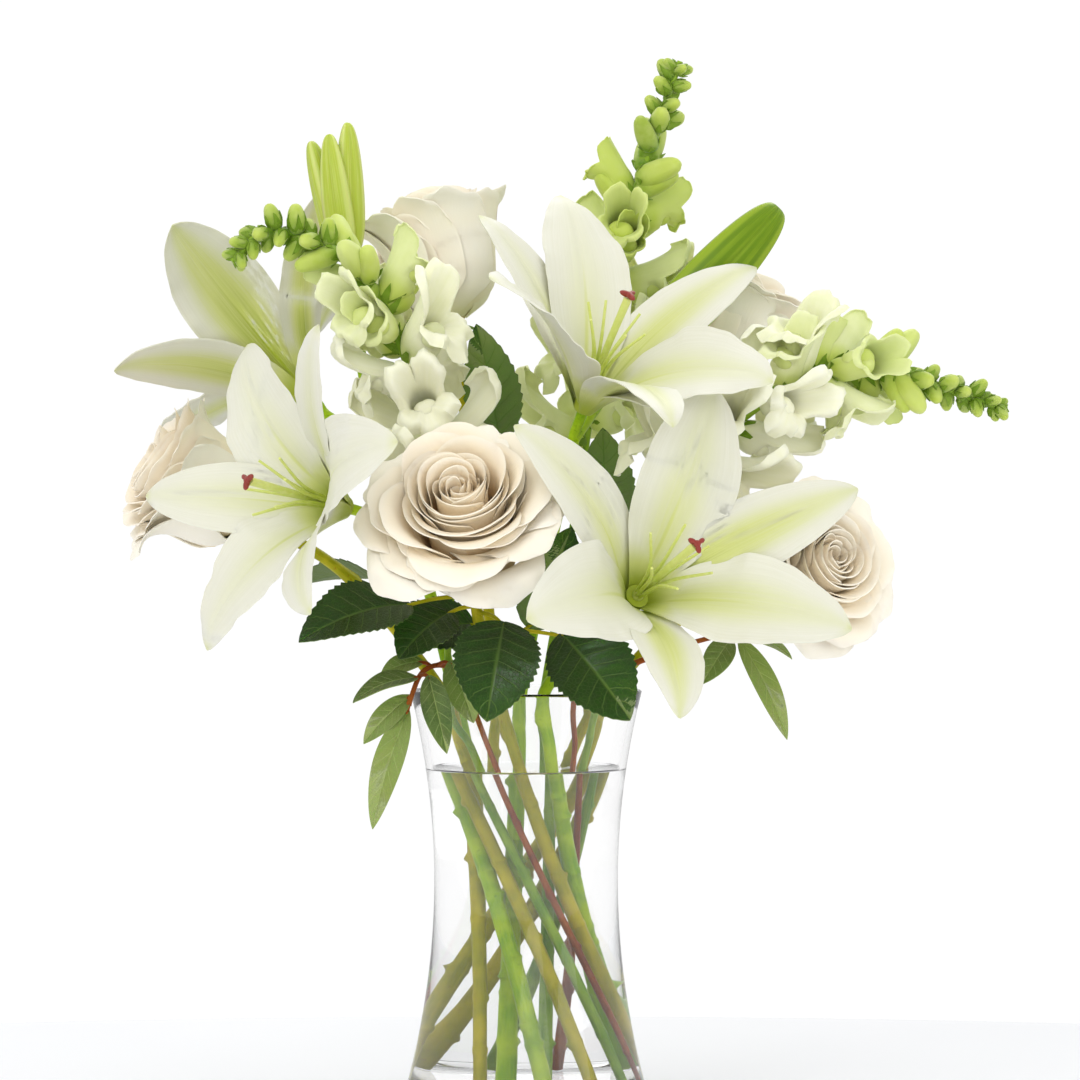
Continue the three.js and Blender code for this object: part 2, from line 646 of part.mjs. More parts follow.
const SPRIGS = [
  {
    name: "sprig_left", rim: 228, via: [[-34, -50, 202], [-44, -60, 200], [-50, -62, 186]],
    leaves: [
      { base: [-46, -62, 198], tip: [-73, -72, 188], face: [-0.1, -0.5, 0.86], width: 17 },
      { base: [-41, -68, 199], tip: [-33, -80, 167], face: [0, -0.97, 0.2], width: 16 },
      { base: [-32, -60, 205], tip: [-22, -64, 179], face: [0.1, -0.97, 0.2], width: 19 },
      { base: [-49, -60, 190], tip: [-69, -62, 170], face: [-0.2, -0.9, 0.3], width: 14 },
      { base: [-50, -62, 184], tip: [-65, -66, 134], face: [-0.2, -0.95, 0.2], width: 17 },
      { base: [-44, -54.5, 204.5], tip: [-62, -56, 199], face: [-0.1, -0.7, 0.7], width: 14 },
    ],
  },
  {
    name: "sprig_right", rim: 308, via: [[56, -26, 206], [84, -14, 214], [93, -10, 214]],
    leaves: [
      { base: [94, -10, 213], tip: [115, -15, 169], face: [0.2, -0.9, 0.3], width: 15 },
      { base: [94, -6, 215], tip: [118, -4, 204], face: [0.1, -0.5, 0.85], width: 13 },
      { base: [90, -16, 213], tip: [77, -28, 194], face: [0, -0.9, 0.3], width: 16 },
    ],
  },
];

// ---------------------------------------------------------------- assembly
const group = new THREE.Group();
group.name = "lilies_in_a_vase";

const matte = (colour) => new THREE.MeshStandardMaterial({ color: colour, roughness: 0.6, metalness: 0 });
const clear = (colour) => {
  const look = { color: colour, roughness: 0.02, metalness: 0, transparent: true, opacity: 0.3 };
  return new THREE.MeshStandardMaterial(look);
};

function add(name, solid, material) {
  const mesh = largest(solid.simplify(0.03)).getMesh();
  const geometry = new THREE.BufferGeometry();
  geometry.setAttribute("position", new THREE.BufferAttribute(mesh.vertProperties, 3));
  geometry.setIndex(new THREE.BufferAttribute(mesh.triVerts, 1));
  geometry.computeVertexNormals();
  const node = new THREE.Mesh(geometry, material);
  node.name = name;
  group.add(node);
}

const below = (bloom, distance) =>
  vec(...bloom.foot).addScaledVector(vec(...bloom.facing).normalize(), -distance);

ROSES.forEach((bloom, i) => {
  const points = stemPoints(bloom, STEM_RADIUS.rose, 2);
  const neck = bar([points.at(-1), below(bloom, 5)], () => 2.5, 5);
  const leaves = leavesOn(points, bloom.leaves);
  const green = fuse([stemBar(points, STEM_RADIUS.rose, 2.5), neck, roseCalyx(bloom), ...leaves]);
  add(`rose_${i + 1}_stem`, green, matte(COLOURS.leaf));
  add(`rose_${i + 1}_bloom`, roseBloom(bloom), matte(COLOURS.rose));
});

const LILY_HEADS = [...LILIES, GREEN_BUD];

LILY_STEMS.forEach((stem) => {
  const points = stemPoints(stem, STEM_RADIUS.lily, 2);
  const pedicels = stem.heads.map((i) => {
    const head = LILY_HEADS[i];
    const seat = head === GREEN_BUD ? GAP : GAP - LILY_CORE.bottom;
    const root = nearest(points, below(head, 34));
    return bar([root, below(head, 16), below(head, 6), below(head, seat)], () => 2.3, 5);
  });
  add(stem.name, fuse([stemBar(points, STEM_RADIUS.lily, 2.6), ...pedicels]), matte(COLOURS.stem));
});

LILIES.forEach((bloom, i) => {
  add(`lily_${i + 1}_bloom`, lilyBloom(bloom), matte(COLOURS.lily));
  add(`lily_${i + 1}_style`, lilyStyle(bloom), matte(COLOURS.style));
  add(`lily_${i + 1}_stigma`, lilyStigma(bloom), matte(COLOURS.stigma));
});
add("lily_bud_green", lilyBud(GREEN_BUD), matte(COLOURS.bud));
add("lily_bud_cluster", budCluster(BUD_CLUSTER), matte(COLOURS.bud));

SNAPDRAGONS.forEach((entry, i) => {
  const points = stemPoints(entry, STEM_RADIUS.snapdragon, 2);
  const spike = snapdragonSpike(points, entry);
  add(
    `snapdragon_${i + 1}`,
    fuse([stemBar(points, STEM_RADIUS.snapdragon, 1.3), ...spike]),
    matte(COLOURS.snapdragon),
  );
});

SPRIGS.forEach((entry) => {
  const points = stemPoints(entry, STEM_RADIUS.sprig, 2);
  const leaves = leavesOn(points, entry.leaves);
  add(entry.name, fuse([stemBar(points, STEM_RADIUS.sprig, 1.1), ...leaves]), matte(COLOURS.sprigLeaf));
});

const holes = [
  ...ROSES.map((entry) => stemHole(entry, STEM_RADIUS.rose)),
  ...LILY_STEMS.map((entry) => stemHole(entry, STEM_RADIUS.lily)),
  ...SNAPDRAGONS.map((entry) => stemHole(entry, STEM_RADIUS.snapdragon)),
  ...SPRIGS.map((entry) => stemHole(entry, STEM_RADIUS.sprig)),
];
add("vase_glass", vaseGlass(VASE_SIDES), clear(COLOURS.glass));
add("water", waterBody(VASE_SIDES).subtract(fuse(holes)), clear(COLOURS.water));

export default group;
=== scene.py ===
"""Lilies, roses and snapdragons in a waisted clear glass vase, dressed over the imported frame.

Shapes are worked out in millimetres, in the frame's own axes, and each finished piece is brought to metres.
Every petal and leaf starts as a grid that is laid along its midline, waved at its edge and given its
thickness.
"""

import functools
from math import atan2, cos, exp, pi, radians, sin

import bmesh
import bpy
from mathutils import Matrix, Vector


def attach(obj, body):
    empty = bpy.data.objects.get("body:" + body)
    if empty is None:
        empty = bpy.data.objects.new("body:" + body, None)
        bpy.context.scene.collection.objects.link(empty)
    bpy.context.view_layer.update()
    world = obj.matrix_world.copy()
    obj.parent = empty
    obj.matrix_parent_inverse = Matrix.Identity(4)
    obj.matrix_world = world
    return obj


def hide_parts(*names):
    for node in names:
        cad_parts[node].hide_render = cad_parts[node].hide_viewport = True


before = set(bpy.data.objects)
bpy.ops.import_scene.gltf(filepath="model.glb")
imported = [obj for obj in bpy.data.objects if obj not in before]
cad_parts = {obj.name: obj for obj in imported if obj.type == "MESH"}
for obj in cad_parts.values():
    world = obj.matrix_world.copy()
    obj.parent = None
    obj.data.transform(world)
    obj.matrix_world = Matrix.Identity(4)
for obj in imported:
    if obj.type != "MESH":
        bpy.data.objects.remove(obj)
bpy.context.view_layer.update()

# ---- sizes in millimetres, angles in degrees
MM = 0.001
VASE = {
    "height": 190, "waist_radius": 40.8, "waist_height": 105, "flare": 0.0015,
    "wall": 3, "floor": 12, "heel": 3,
}
WATER_LEVEL = 155
INTO_GLASS = 0.1  # how far the water reaches into the glass, so that no film of air shows
LATHE_STEPS = 96
GAP = 0.3  # between a stem or a centre and what stands on it
SPIRAL = 48  # each stem's foot lags this far behind the far side of its place at the rim
FOOT_RADIUS = 43
RIM_RADIUS = 38
STRAIGHT = 0.86  # share of the way from foot to rim on which a stem is straight
GOLDEN = 137.508  # from one petal or floret to the next
STEM_RADIUS = {"rose": 3.0, "lily": 3.7, "snapdragon": 2.5, "sprig": 1.6}
PETAL_THICKNESS = 0.55
POLE = 0.1  # radius of the tiny flat end of a bud
FARTHEST_SKIN = 1.5  # a sheet's second side is at most this many thicknesses from its first
LEAF_THICKNESS = 0.5
LIP_THICKNESS = 0.45
CALYX_THICKNESS = 0.35
TEPAL = {"throat": 3.5, "layer": 0.95, "lean_foot": 29}
LILY_CORE = {"radius": 5.2, "bottom": -1, "top": 6}
ROSE_CORE = {"radius": 8.5, "height": 7}
HIP = {"radius": 5, "height": 11}
PISTIL_RADIUS = 1.6
STIGMA = {"height": 2.6, "middle": 1.8, "lobe": 3.2}
SPIKE_SIZE = 1.4  # scale of the florets and buds
TUBE = {"radius": 5.2, "height": 11, "share": 0.45}  # of a floret; share is of its rows
# faces across and along each kind of sheet
GRIDS = {
    "rose": (22, 20), "heart": (84, 10), "inner": (28, 44), "outer": (20, 44), "floret": (50, 20),
    "calyx": (30, 4), "sepal": (6, 12),
}
BLADE_ACROSS = 14
SMOOTH_BLADE_ROWS = 30
ROWS_PER_FOUR_TEETH = 16

# leaves: (base, tip, what the upper side faces, width, teeth in fours, how dark)
# blush: how much peach a rose's inner petals get, partly its own colour and partly painted warm glow in its
# folds
ROSES = [
    {
        "foot": (-23, -59, 246), "facing": (-0.1, -0.77, 0.63), "height": 57, "open": 1.0, "turn": 20,
        "blush_and_glow": 1.0, "rim": 251, "via": [(-20, -47, 220), (-22, -51.2, 239.8)],
        "leaves": [
            ((-49, -58, 229), (-95, -84, 214), (-0.1, -0.75, 0.65), 42, 4, 1.0),
            ((-32, -48, 226), (-54, -62, 206), (-0.2, -0.8, 0.5), 38, 3, 1.0),
            ((-9, -72, 222), (-16, -92, 181), (0, -0.95, 0.3), 50, 4, 1.0),
            ((15, -66, 217), (44, -82, 181), (0.05, -0.95, 0.3), 50, 4, 1.0),
            ((2, -34, 218), (20, -38, 262), (0.1, -0.95, 0.1), 36, 3, 1.0),
            ((-22, -32, 220), (-52, -40, 214), (-0.1, -0.8, 0.6), 40, 3, 1.0),
        ],
    },
    {
        "foot": (-124, 22, 268), "facing": (-0.84, -0.2, 0.48), "height": 54, "open": 0.66, "turn": 75,
        "blush_and_glow": 0.9, "rim": 180, "via": [(-78, 14, 238), (-115.5, 24, 263.2)],
        "leaves": [
            ((-62, 22, 236), (-104, 50, 236), (-0.3, 0.5, 0.8), 36, 3, 1.0),
        ],
    },
    {
        "foot": (-34, 32, 356), "facing": (-0.17, 0.1, 0.98), "height": 58, "open": 0.5, "turn": 130,
        "blush_and_glow": 0.3, "rim": 112, "via": [(-22, 40, 270), (-32.4, 31, 346.6)],
        "leaves": [
            ((-14, 52, 262), (-22, 100, 250), (0, 0.3, 0.95), 38, 3, 1.0),
            ((-12, 14, 300), (-22, -6, 352), (0.1, -0.95, 0.2), 36, 3, 1.0),
            ((-46, 44, 268), (-78, 82, 262), (-0.2, 0.4, 0.9), 34, 3, 1.0),
        ],
    },
    {
        "foot": (110, -12, 236), "facing": (0.5, -0.8, 0.3), "height": 50, "open": 0.95, "turn": 200,
        "blush_and_glow": 0.7, "rim": 357, "via": [(72, 0, 224), (105, -4, 233)],
        "leaves": [
            ((78, 16, 232), (120, 38, 228), (0.2, 0.3, 0.9), 36, 3, 1.0),
        ],
    },
    {
        "foot": (84, 66, 333), "facing": (0.3, 0.2, 0.93), "height": 50, "open": 0.8, "turn": 310,
        "blush_and_glow": 0.3, "rim": 30, "via": [(56, 46, 270), (81.2, 64, 324.2)],
        "leaves": [
            ((52, 42, 250), (72, 90, 244), (0.1, 0.3, 0.95), 38, 3, 1.0),
            ((24, 40, 226), (20, 92, 212), (0, 0.4, 0.9), 38, 3, 1.0),
            ((34, 16, 262), (34, -6, 306), (0.1, -0.95, 0.2), 38, 3, 1.0),
        ],
    },
]

# tepals: (turn, length, lean of the tip, how green, and for some a twist), inner and outer in turn
LILIES = [
    {
        "foot": (45.3, -54, 230), "facing": (0.4, -0.81, 0.41), "width": 45, "pistil": 52, "green": 0.75,
        "tepals": [(68, 102, 88, 0.1), (138, 105, 91, 0.1), (201, 104, 85, 0.0),
                   (253, 101, 74, 0.6), (330, 98, 74, 0.2), (17, 112, 84, 0.5)],
    },
    {
        "foot": (25.4, -24, 314), "facing": (0.3, -0.48, 0.82), "width": 42, "pistil": 50, "green": 0.5,
        "tepals": [(81, 109, 86, 0.0), (122, 97, 74, 0.1), (190, 107, 66, 0.0),
                   (257, 106, 94, 0.5), (300, 96, 76, 0.3, 0.5), (17, 108, 78, 0.5)],
    },
    {
        "foot": (-77.6, -44, 270.4), "facing": (-0.73, -0.6, 0.2), "width": 42, "pistil": 46, "green": 0.35,
        "tepals": [(126, 93, 108, 0.1), (185, 92, 72, 0.2), (246, 88, 99, 0.1),
                   (318, 101, 84, 0.4), (11, 104, 100, 0.0), (60, 95, 74, 0.2)],
    },
    {
        "foot": (-98.4, 36, 322), "facing": (-0.62, 0.44, 0.64), "width": 42, "pistil": 44, "green": 1.0,
        "tepals": [(31, 108, 82, 0.9), (341, 94, 87, 0.5), (271, 96, 84, 0.4),
                   (211, 98, 86, 0.4), (151, 98, 84, 0.4), (91, 98, 80, 0.6)],
    },
]

LILY_STEMS = [
    {"name": "right", "rim": 282, "via": [(24, -46, 208), (36, -46, 220)], "heads": [0]},
    {
        "name": "middle", "root": (-7, -4), "rim": (-2, -8), "via": [(10, -8, 250), (21, -17, 300)],
        "heads": [1, 4],
    },
    {"name": "left", "rim": 150, "via": [(-48, 10, 250), (-68, 3, 310), (-79, 0, 373)], "heads": [2, 3]},
]

GREEN_BUD = {"foot": (50, 19, 338), "facing": (0.68, 0.08, 0.73), "length": 94, "radius": 12.5, "bow": -0.03}
BUD_CLUSTER = {
    "foot": (-79, 0, 374), "radius": 6.4,
    "tips": [(-96, 3, 434), (-87, -7, 436), (-88, 9, 426), (-79.5, 0, 442)],
}

SNAPDRAGONS = [
    {
        "root": (6, 4), "rim": (8, 10), "via": [(26, 46, 290), (34, 54, 350), (52, 46, 420), (70, 34, 474)],
        "from": 0.44, "open": 5, "swelling": 8, "buds": 5, "late": 1,
        "turn": 40, "green": 0.3, "plump": 1.1,
    },
    {
        "rim": 330, "via": [(62, -22, 272), (96, -20, 310), (142, -16, 332), (212, -12, 314)],
        "from": 0.44, "open": 7, "swelling": 5, "buds": 9, "late": 3,
        "turn": 100, "green": 0.0, "plump": 1.05,
    },
    {
        "rim": 206,
        "via": [(-33, -24, 272), (-48, -34, 322), (-70, -42, 372), (-108, -46, 390), (-126, -50, 376)],
        "from": 0.37, "open": 8, "swelling": 5, "buds": 8, "late": 2,
        "turn": 10, "green": 0.0, "plump": 1.05,
    },
]

SPRIGS = [
    {
        "name": "left", "rim": 228, "via": [(-34, -50, 202), (-44, -60, 200), (-50, -62, 186)],
        "leaves": [
            ((-46, -62, 198), (-73, -72, 188), (-0.1, -0.5, 0.86), 17, 0, 0.8),
            ((-41, -68, 199), (-33, -80, 167), (0, -0.97, 0.2), 16, 0, 0.9),
            ((-32, -60, 205), (-22, -64, 179), (0.1, -0.97, 0.2), 19, 0, 0.5),
            ((-49, -60, 190), (-69, -62, 170), (-0.2, -0.9, 0.3), 14, 0, 0.2),
            ((-50, -62, 184), (-65, -66, 134), (-0.2, -0.95, 0.2), 17, 0, 0.0),
            ((-44, -54.5, 204.5), (-62, -56, 199), (-0.1, -0.7, 0.7), 14, 0, 0.3),
        ],
    },
    {
        "name": "right", "rim": 308, "via": [(56, -26, 206), (84, -14, 214), (93, -10, 214)],
        "leaves": [
            ((94, -10, 213), (115, -15, 169), (0.2, -0.9, 0.3), 15, 0, 0.0),
            ((94, -6, 215), (118, -4, 204), (0.1, -0.5, 0.85), 13, 0, 0.1),
            ((90, -16, 213), (77, -28, 194), (0, -0.9, 0.3), 16, 0, 0.5),
        ],
    },
]


# ---- small sums
def mix(a, b, t):
    return a + (b - a) * t


def clamp(t):
    return min(1.0, max(0.0, t))


def smooth(t):
    t = clamp(t)
    return t * t * (3 - 2 * t)


def bump_at(t, centre, width):
    """A soft hill of height 1 at centre."""
    return exp(-(((t - centre) / width) ** 2))


def scatter(n):
    """The same value from 0 to 1 for the same number, so that no two runs differ."""
    return (abs(sin(n * 12.9898 + 4.137)) * 4375.85) % 1


def polar(radius, turn, z):
    return Vector((radius * cos(radians(turn)), radius * sin(radians(turn)), z))


def upright(*heights):
    return [Vector((0, 0, z)) for z in heights]


def turn_to(facing, origin):
    """The turn that takes local +Z to facing, with local +X level."""
    z = Vector(facing).normalized()
    x = Vector((0, 0, 1)).cross(z)
    x = x.normalized() if x.length > 0.01 else Vector((1, 0, 0))
    y = z.cross(x)
    turned = Matrix((x, y, z)).transposed().to_4x4()
    turned.translation = Vector(origin)
    return turned


def below(bloom, distance):
    return Vector(bloom["foot"]) - Vector(bloom["facing"]).normalized() * distance


def nearest(points, place):
    return min(points, key=lambda p: (p - Vector(place)).length)


# ---- curves
def through(points, per_span, ease=0.0):
    """Points of a smooth curve, per_span from each given one to the next. ease 0.5 evens uneven spans."""
    first = points[0] * 2 - points[1]
    last = points[-1] * 2 - points[-2]
    padded = [first, *points, last]
    made = []
    for i in range(len(points) - 1):
        p0, p1, p2, p3 = padded[i : i + 4]
        d0, d1, d2 = (max((q - p).length, 1e-4) ** ease for p, q in ((p0, p1), (p1, p2), (p2, p3)))
        t1 = ((p1 - p0) / d0 - (p2 - p0) / (d0 + d1) + (p2 - p1) / d1) * d1
        t2 = ((p2 - p1) / d1 - (p3 - p1) / (d1 + d2) + (p3 - p2) / d2) * d1
        for k in range(per_span):
            t = k / per_span
            made.append(
                p1 * (2 * t**3 - 3 * t**2 + 1) + t1 * (t**3 - 2 * t**2 + t)
                + p2 * (3 * t**2 - 2 * t**3) + t2 * (t**3 - t**2)
            )
    return [*made, points[-1].copy()]


def along_curve(points, share):
    """The point at that share of a curve's length, and the way it runs there."""
    spans = [(q - p).length for p, q in zip(points, points[1:])]
    left = share * sum(spans)
    for p, q, span in zip(points, points[1:], spans):
        if left <= span:
            return p.lerp(q, left / span), (q - p).normalized()
        left -= span
    return points[-1].copy(), (points[-1] - points[-2]).normalized()


def stem_ends(entry, radius):
    """Where a stem's foot and its place at the rim are. Without a root of its own it joins the spiral."""
    if "root" in entry:
        foot, rim = Vector((*entry["root"], 0)), Vector((*entry["rim"], VASE["height"]))
    else:
        foot = polar(FOOT_RADIUS, entry["rim"] + 180 - SPIRAL, 0)
        rim = polar(RIM_RADIUS, entry["rim"], VASE["height"])
    foot.z = VASE["floor"] + GAP + 0.42 * radius
    return foot, rim


def stem_points(entry, radius, per_span):
    """A stem's middle: straight through the water, then curved from below the rim to its top."""
    foot, rim = stem_ends(entry, radius)
    above = foot.lerp(rim, STRAIGHT)
    curved = through([above, rim, *(Vector(p) for p in entry["via"])], per_span)
    return foot, above, curved


# ---- meshes
def new_mesh():
    """A mesh whose vertices keep their place on the petal (across, along, a chance number), their age from
    open to bud, their side (1 on the upper or inner one) and, while it is built, where their sheet was laid.
    On round pieces across is mirrored, so that it meets itself at the back."""
    bm = bmesh.new()
    bm.verts.layers.float_vector.new("petal")
    bm.verts.layers.float.new("age")
    bm.verts.layers.float.new("upper")
    bm.verts.layers.float_vector.new("seat")
    return bm


def mark(bm, vert, across, along, chance, age, upper):
    vert[bm.verts.layers.float_vector["petal"]] = (across, along, chance)
    vert[bm.verts.layers.float["age"]] = age
    vert[bm.verts.layers.float["upper"]] = upper


def paint_faces(verts, slot):
    for face in {f for v in verts for f in v.link_faces}:
        face.material_index = slot


def add_sheet(
    bm, place, across, along, thickness, slot=0, chance=0.0, age=0.0, matrix=None, faces_up=False, seam=False,
):
    """A grid laid at place(s, a), s from 0 to 1 along and a from -1 to 1 across, and given its thickness."""
    verts = bmesh.ops.create_grid(bm, x_segments=across, y_segments=along, size=1.0)["verts"]
    seat = bm.verts.layers.float_vector["seat"]
    for v in verts:
        a, s = v.co.x, (v.co.y + 1) / 2
        here = age(s) if callable(age) else age
        mark(bm, v, abs(a) if seam else a, s, chance, here, 1.0 if faces_up else 0.0)
        v.co = matrix @ place(s, a) if matrix else place(s, a)
        v[seat] = v.co
    if seam:
        bmesh.ops.remove_doubles(bm, verts=verts, dist=0.02)
        verts = [v for v in verts if v.is_valid]
    paint_faces(verts, slot)
    faces = list({f for v in verts for f in v.link_faces})
    shell = bmesh.ops.solidify(bm, geom=faces, thickness=thickness)["geom"]
    upper = bm.verts.layers.float["upper"]
    for v in (g for g in shell if isinstance(g, bmesh.types.BMVert)):
        v[upper] = 0.0 if faces_up else 1.0
        away = v.co - v[seat]
        if away.length > FARTHEST_SKIN * thickness:  # a crease would throw it far off its sheet
            v.co = v[seat] + away * (FARTHEST_SKIN * thickness / away.length)


def add_rod(bm, points, radius_at, sides, slot=0, chance=0.0, age=0.0, matrix=None, low=False):
    """A round bar through points. radius_at(share of the way, turn) is its radius there. low: coloured as a
    petal's foot."""
    made = bmesh.ops.create_cone(bm, cap_ends=True, segments=sides, radius1=1, radius2=1, depth=1)["verts"]
    edges = {e for v in made for e in v.link_edges}
    long_edges = [e for e in edges if abs(e.verts[0].co.z - e.verts[1].co.z) > 0.5]
    last = len(points) - 1
    if last > 1:
        cut = bmesh.ops.subdivide_edges(bm, edges=long_edges, cuts=last - 1, use_grid_fill=True)["geom_inner"]
        rings = [g for g in cut if isinstance(g, bmesh.types.BMVert)]
        made = list({v for ring in rings for face in ring.link_faces for v in face.verts})
    ways = [(points[min(i + 1, last)] - points[max(i - 1, 0)]).normalized() for i in range(last + 1)]
    sideways = []
    side = Vector((1, 0, 0)) if abs(ways[0].z) > 0.9 else Vector((0, 0, 1))
    for way in ways:
        side = (side - way * side.dot(way)).normalized()
        sideways.append(side)
    for v in made:
        i = round((v.co.z + 0.5) * last)
        turn = atan2(v.co.y, v.co.x)
        radius = radius_at(i / last, turn)
        other = sideways[i].cross(ways[i])
        spot = points[i] + sideways[i] * (cos(turn) * radius) + other * (sin(turn) * radius)
        here = age(i / last) if callable(age) else age
        mark(bm, v, abs(turn) / pi, 0 if low else i / last, chance, here, 1.0)
        v.co = matrix @ spot if matrix else spot
    paint_faces(made, slot)


def add_spindle(bm, length, radius_at, sides, rings, matrix, slot=0, chance=0.0, age=0.0, bow=0.0):
    """An egg or bud along local +Z. radius_at(share of the way, turn) is its radius there."""
    shares = [(1 - cos(pi * i / rings)) / 2 for i in range(rings + 1)]
    points = [Vector((bow * length * 4 * t * (1 - t), 0, t * length)) for t in shares]
    add_rod(bm, points, lambda s, turn: max(radius_at(s, -turn), POLE), sides, slot, chance, age, matrix)


def add_lathe(bm, profile):
    """A profile of (radius, height) spun about the vase's axis."""
    verts = [bm.verts.new((r, 0, z)) for r, z in profile]
    edges = [bm.edges.new(pair) for pair in zip(verts, verts[1:])]
    whole = {"cent": (0, 0, 0), "axis": (0, 0, 1), "angle": 2 * pi}
    bmesh.ops.spin(bm, geom=[*verts, *edges], steps=LATHE_STEPS, use_merge=True, **whole)
    bmesh.ops.remove_doubles(bm, verts=bm.verts[:], dist=0.01)


def finish_piece(bm, name, node, slot_name, *materials, sharp=48):
    """Brings a mesh to metres as a piece of the bunch: faces out, smooth, with its thin rims kept crisp."""
    bm.verts.layers.float_vector.remove(bm.verts.layers.float_vector["seat"])
    bmesh.ops.recalc_face_normals(bm, faces=bm.faces[:])
    for face in bm.faces:
        face.smooth = True
    for edge in bm.edges:
        edge.smooth = not (edge.is_manifold and edge.calc_face_angle(0) > radians(sharp))
    bmesh.ops.scale(bm, vec=(MM, MM, MM), verts=bm.verts[:])
    mesh = bpy.data.meshes.new(name)
    bm.to_mesh(mesh)
    bm.free()
    for material in materials:
        mesh.materials.append(MATERIALS[material])
    piece = bpy.data.objects.new(name, mesh)
    bpy.context.scene.collection.objects.link(piece)
    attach(piece, "root")
    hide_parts(node)


# ---- vase and water
def vase_radius(z):
    return VASE["waist_radius"] + VASE["flare"] * (z - VASE["waist_height"]) ** 2


def wall_line(into, low, high, steps):
    """Points of the profile along the wall, that far inside its outer face."""
    heights = [mix(low, high, i / steps) for i in range(steps + 1)]
    return [(vase_radius(z) - into, z) for z in heights]


def arc(centre, radius, start, end, steps):
    """Points of a rounded corner in the profile, from one angle to another."""
    return [
        (centre[0] + radius * cos(radians(mix(start, end, i / steps))),
         centre[1] + radius * sin(radians(mix(start, end, i / steps))))
        for i in range(steps + 1)
    ]


def make_vase():
    wall, floor, heel, height = (VASE[k] for k in ("wall", "floor", "heel", "height"))
    lip = wall / 2
    bm = new_mesh()
    profile = [
        (0, 0),
        *arc((vase_radius(0) - heel, heel), heel, -90, -12, 4),
        *wall_line(0, heel, height - lip, 24),
        *arc((vase_radius(height) - lip, height - lip), lip, 0, 180, 6)[1:-1],
        *wall_line(wall, height - lip, floor + heel, 24),
        *arc((vase_radius(floor) - wall - heel, floor + heel), heel, -12, -90, 4),
        (0, floor),
    ]
    add_lathe(bm, profile)
    finish_piece(bm, "vase_clear_glass", "vase_glass", "glass", "glass", sharp=75)


def make_water():
    """The water stands against the glass, and its rim climbs it a little."""
    wall, floor, heel = (VASE[k] for k in ("wall", "floor", "heel"))
    into = wall - INTO_GLASS
    bm = new_mesh()
    edge = vase_radius(WATER_LEVEL) - into
    meniscus = [(edge, WATER_LEVEL + 1.0), (edge - 0.9, WATER_LEVEL + 0.35), (edge - 2.4, WATER_LEVEL)]
    profile = [
        (0, floor - INTO_GLASS),
        *arc((vase_radius(floor) - into - heel, floor + heel), heel + INTO_GLASS, -90, -12, 4),
        *wall_line(into, floor + heel, WATER_LEVEL, 20),
        *meniscus,
        (0, WATER_LEVEL),
    ]
    add_lathe(bm, profile)
    finish_piece(bm, "vase_water", "water", "water", "water", sharp=40)


# ---- leaves
def leaf_blade(base, tip, face, width, teeth, chance):
    """A blade's surface: pointed, folded up along its midrib and quilted between its side veins."""
    base, tip = Vector(base), Vector(tip)
    length = (tip - base).length
    way = (tip - base).normalized()
    up = Vector(face)
    up = (up - way * up.dot(way)).normalized()
    side = way.cross(up)
    veins = 7 if teeth else 5

    def place(s, a):
        outline = 2.05 * s**0.62 * (1 - s) ** 0.82
        notch = 1 - 0.1 * (1 - (s * teeth) % 1) * smooth(s / 0.15) if teeth else 1
        reach = max(width / 2 * outline * notch, mix(0.9, 0.15, s))
        fold = 0.22 * reach * abs(a)
        between = sin(2 * pi * (s * veins - 0.45 * abs(a) * veins * 0.4))
        quilt = (0.45 if teeth else 0.2) * between * abs(a) * (1 - abs(a)) * 4 * smooth(s / 0.1) * (1 - s)
        wave = 0.03 * reach * sin(7 * s + 9 * chance + (2 if a > 0 else 0)) * a * a * 2
        rise = 0.1 * length * 4 * s * (1 - s) + fold + quilt + wave
        rib = -0.25 * bump_at(a * reach, 0, 0.5)
        return base + way * (s * length) + side * (a * reach) + up * (rise + rib)

    return place, base, way, up


def add_leaves(bm, points, leaves, blade_slot, stalk_slot, seed):
    for i, (*shape, fours, age) in enumerate(leaves):
        chance = scatter(seed + i)
        place, base, way, up = leaf_blade(*shape, fours * 4, chance)
        rows = fours * ROWS_PER_FOUR_TEETH or SMOOTH_BLADE_ROWS
        add_sheet(bm, place, BLADE_ACROSS, rows, LEAF_THICKNESS, blade_slot, chance, age, faces_up=True)
        root = nearest(points, base)
        bend = root.lerp(base, 0.6) + up * 0.04 * (base - root).length
        stalk = through([root, bend, base + way * 2], 4)
        add_rod(bm, stalk, lambda s, _: mix(1.1, 0.75, s), 7, stalk_slot, chance, age)


# ---- stems
def add_stem(bm, entry, radius, top_radius, sides, slot, nodes, seed):
    """A stem with small swellings where leaves were taken off."""
    foot, above, curved = stem_points(entry, radius, 8)
    straight = [foot.lerp(above, i / 110) for i in range(110)]
    points = [*straight, *curved]
    count = len(points) - 1
    shares = [scatter(seed + k) * 0.08 + (k + 0.4) / nodes for k in range(nodes)]
    knots = [(at, scatter(seed + k + 50) * 6.28) for k, at in enumerate(shares)]

    def radius_at(s, turn):
        here = mix(radius, top_radius, s)
        near = [(bump_at(s, at, 0.9 / count), cos(turn - side)) for at, side in knots]
        swell = sum(ring * 0.12 + ring * 0.5 * max(0, facing) ** 3 for ring, facing in near)
        return here * (1 + swell + 0.025 * sin(3 * turn + 30 * s) + 0.015 * sin(5 * turn - 70 * s))

    add_rod(bm, points, radius_at, sides, slot, scatter(seed), 0.0)
    return points


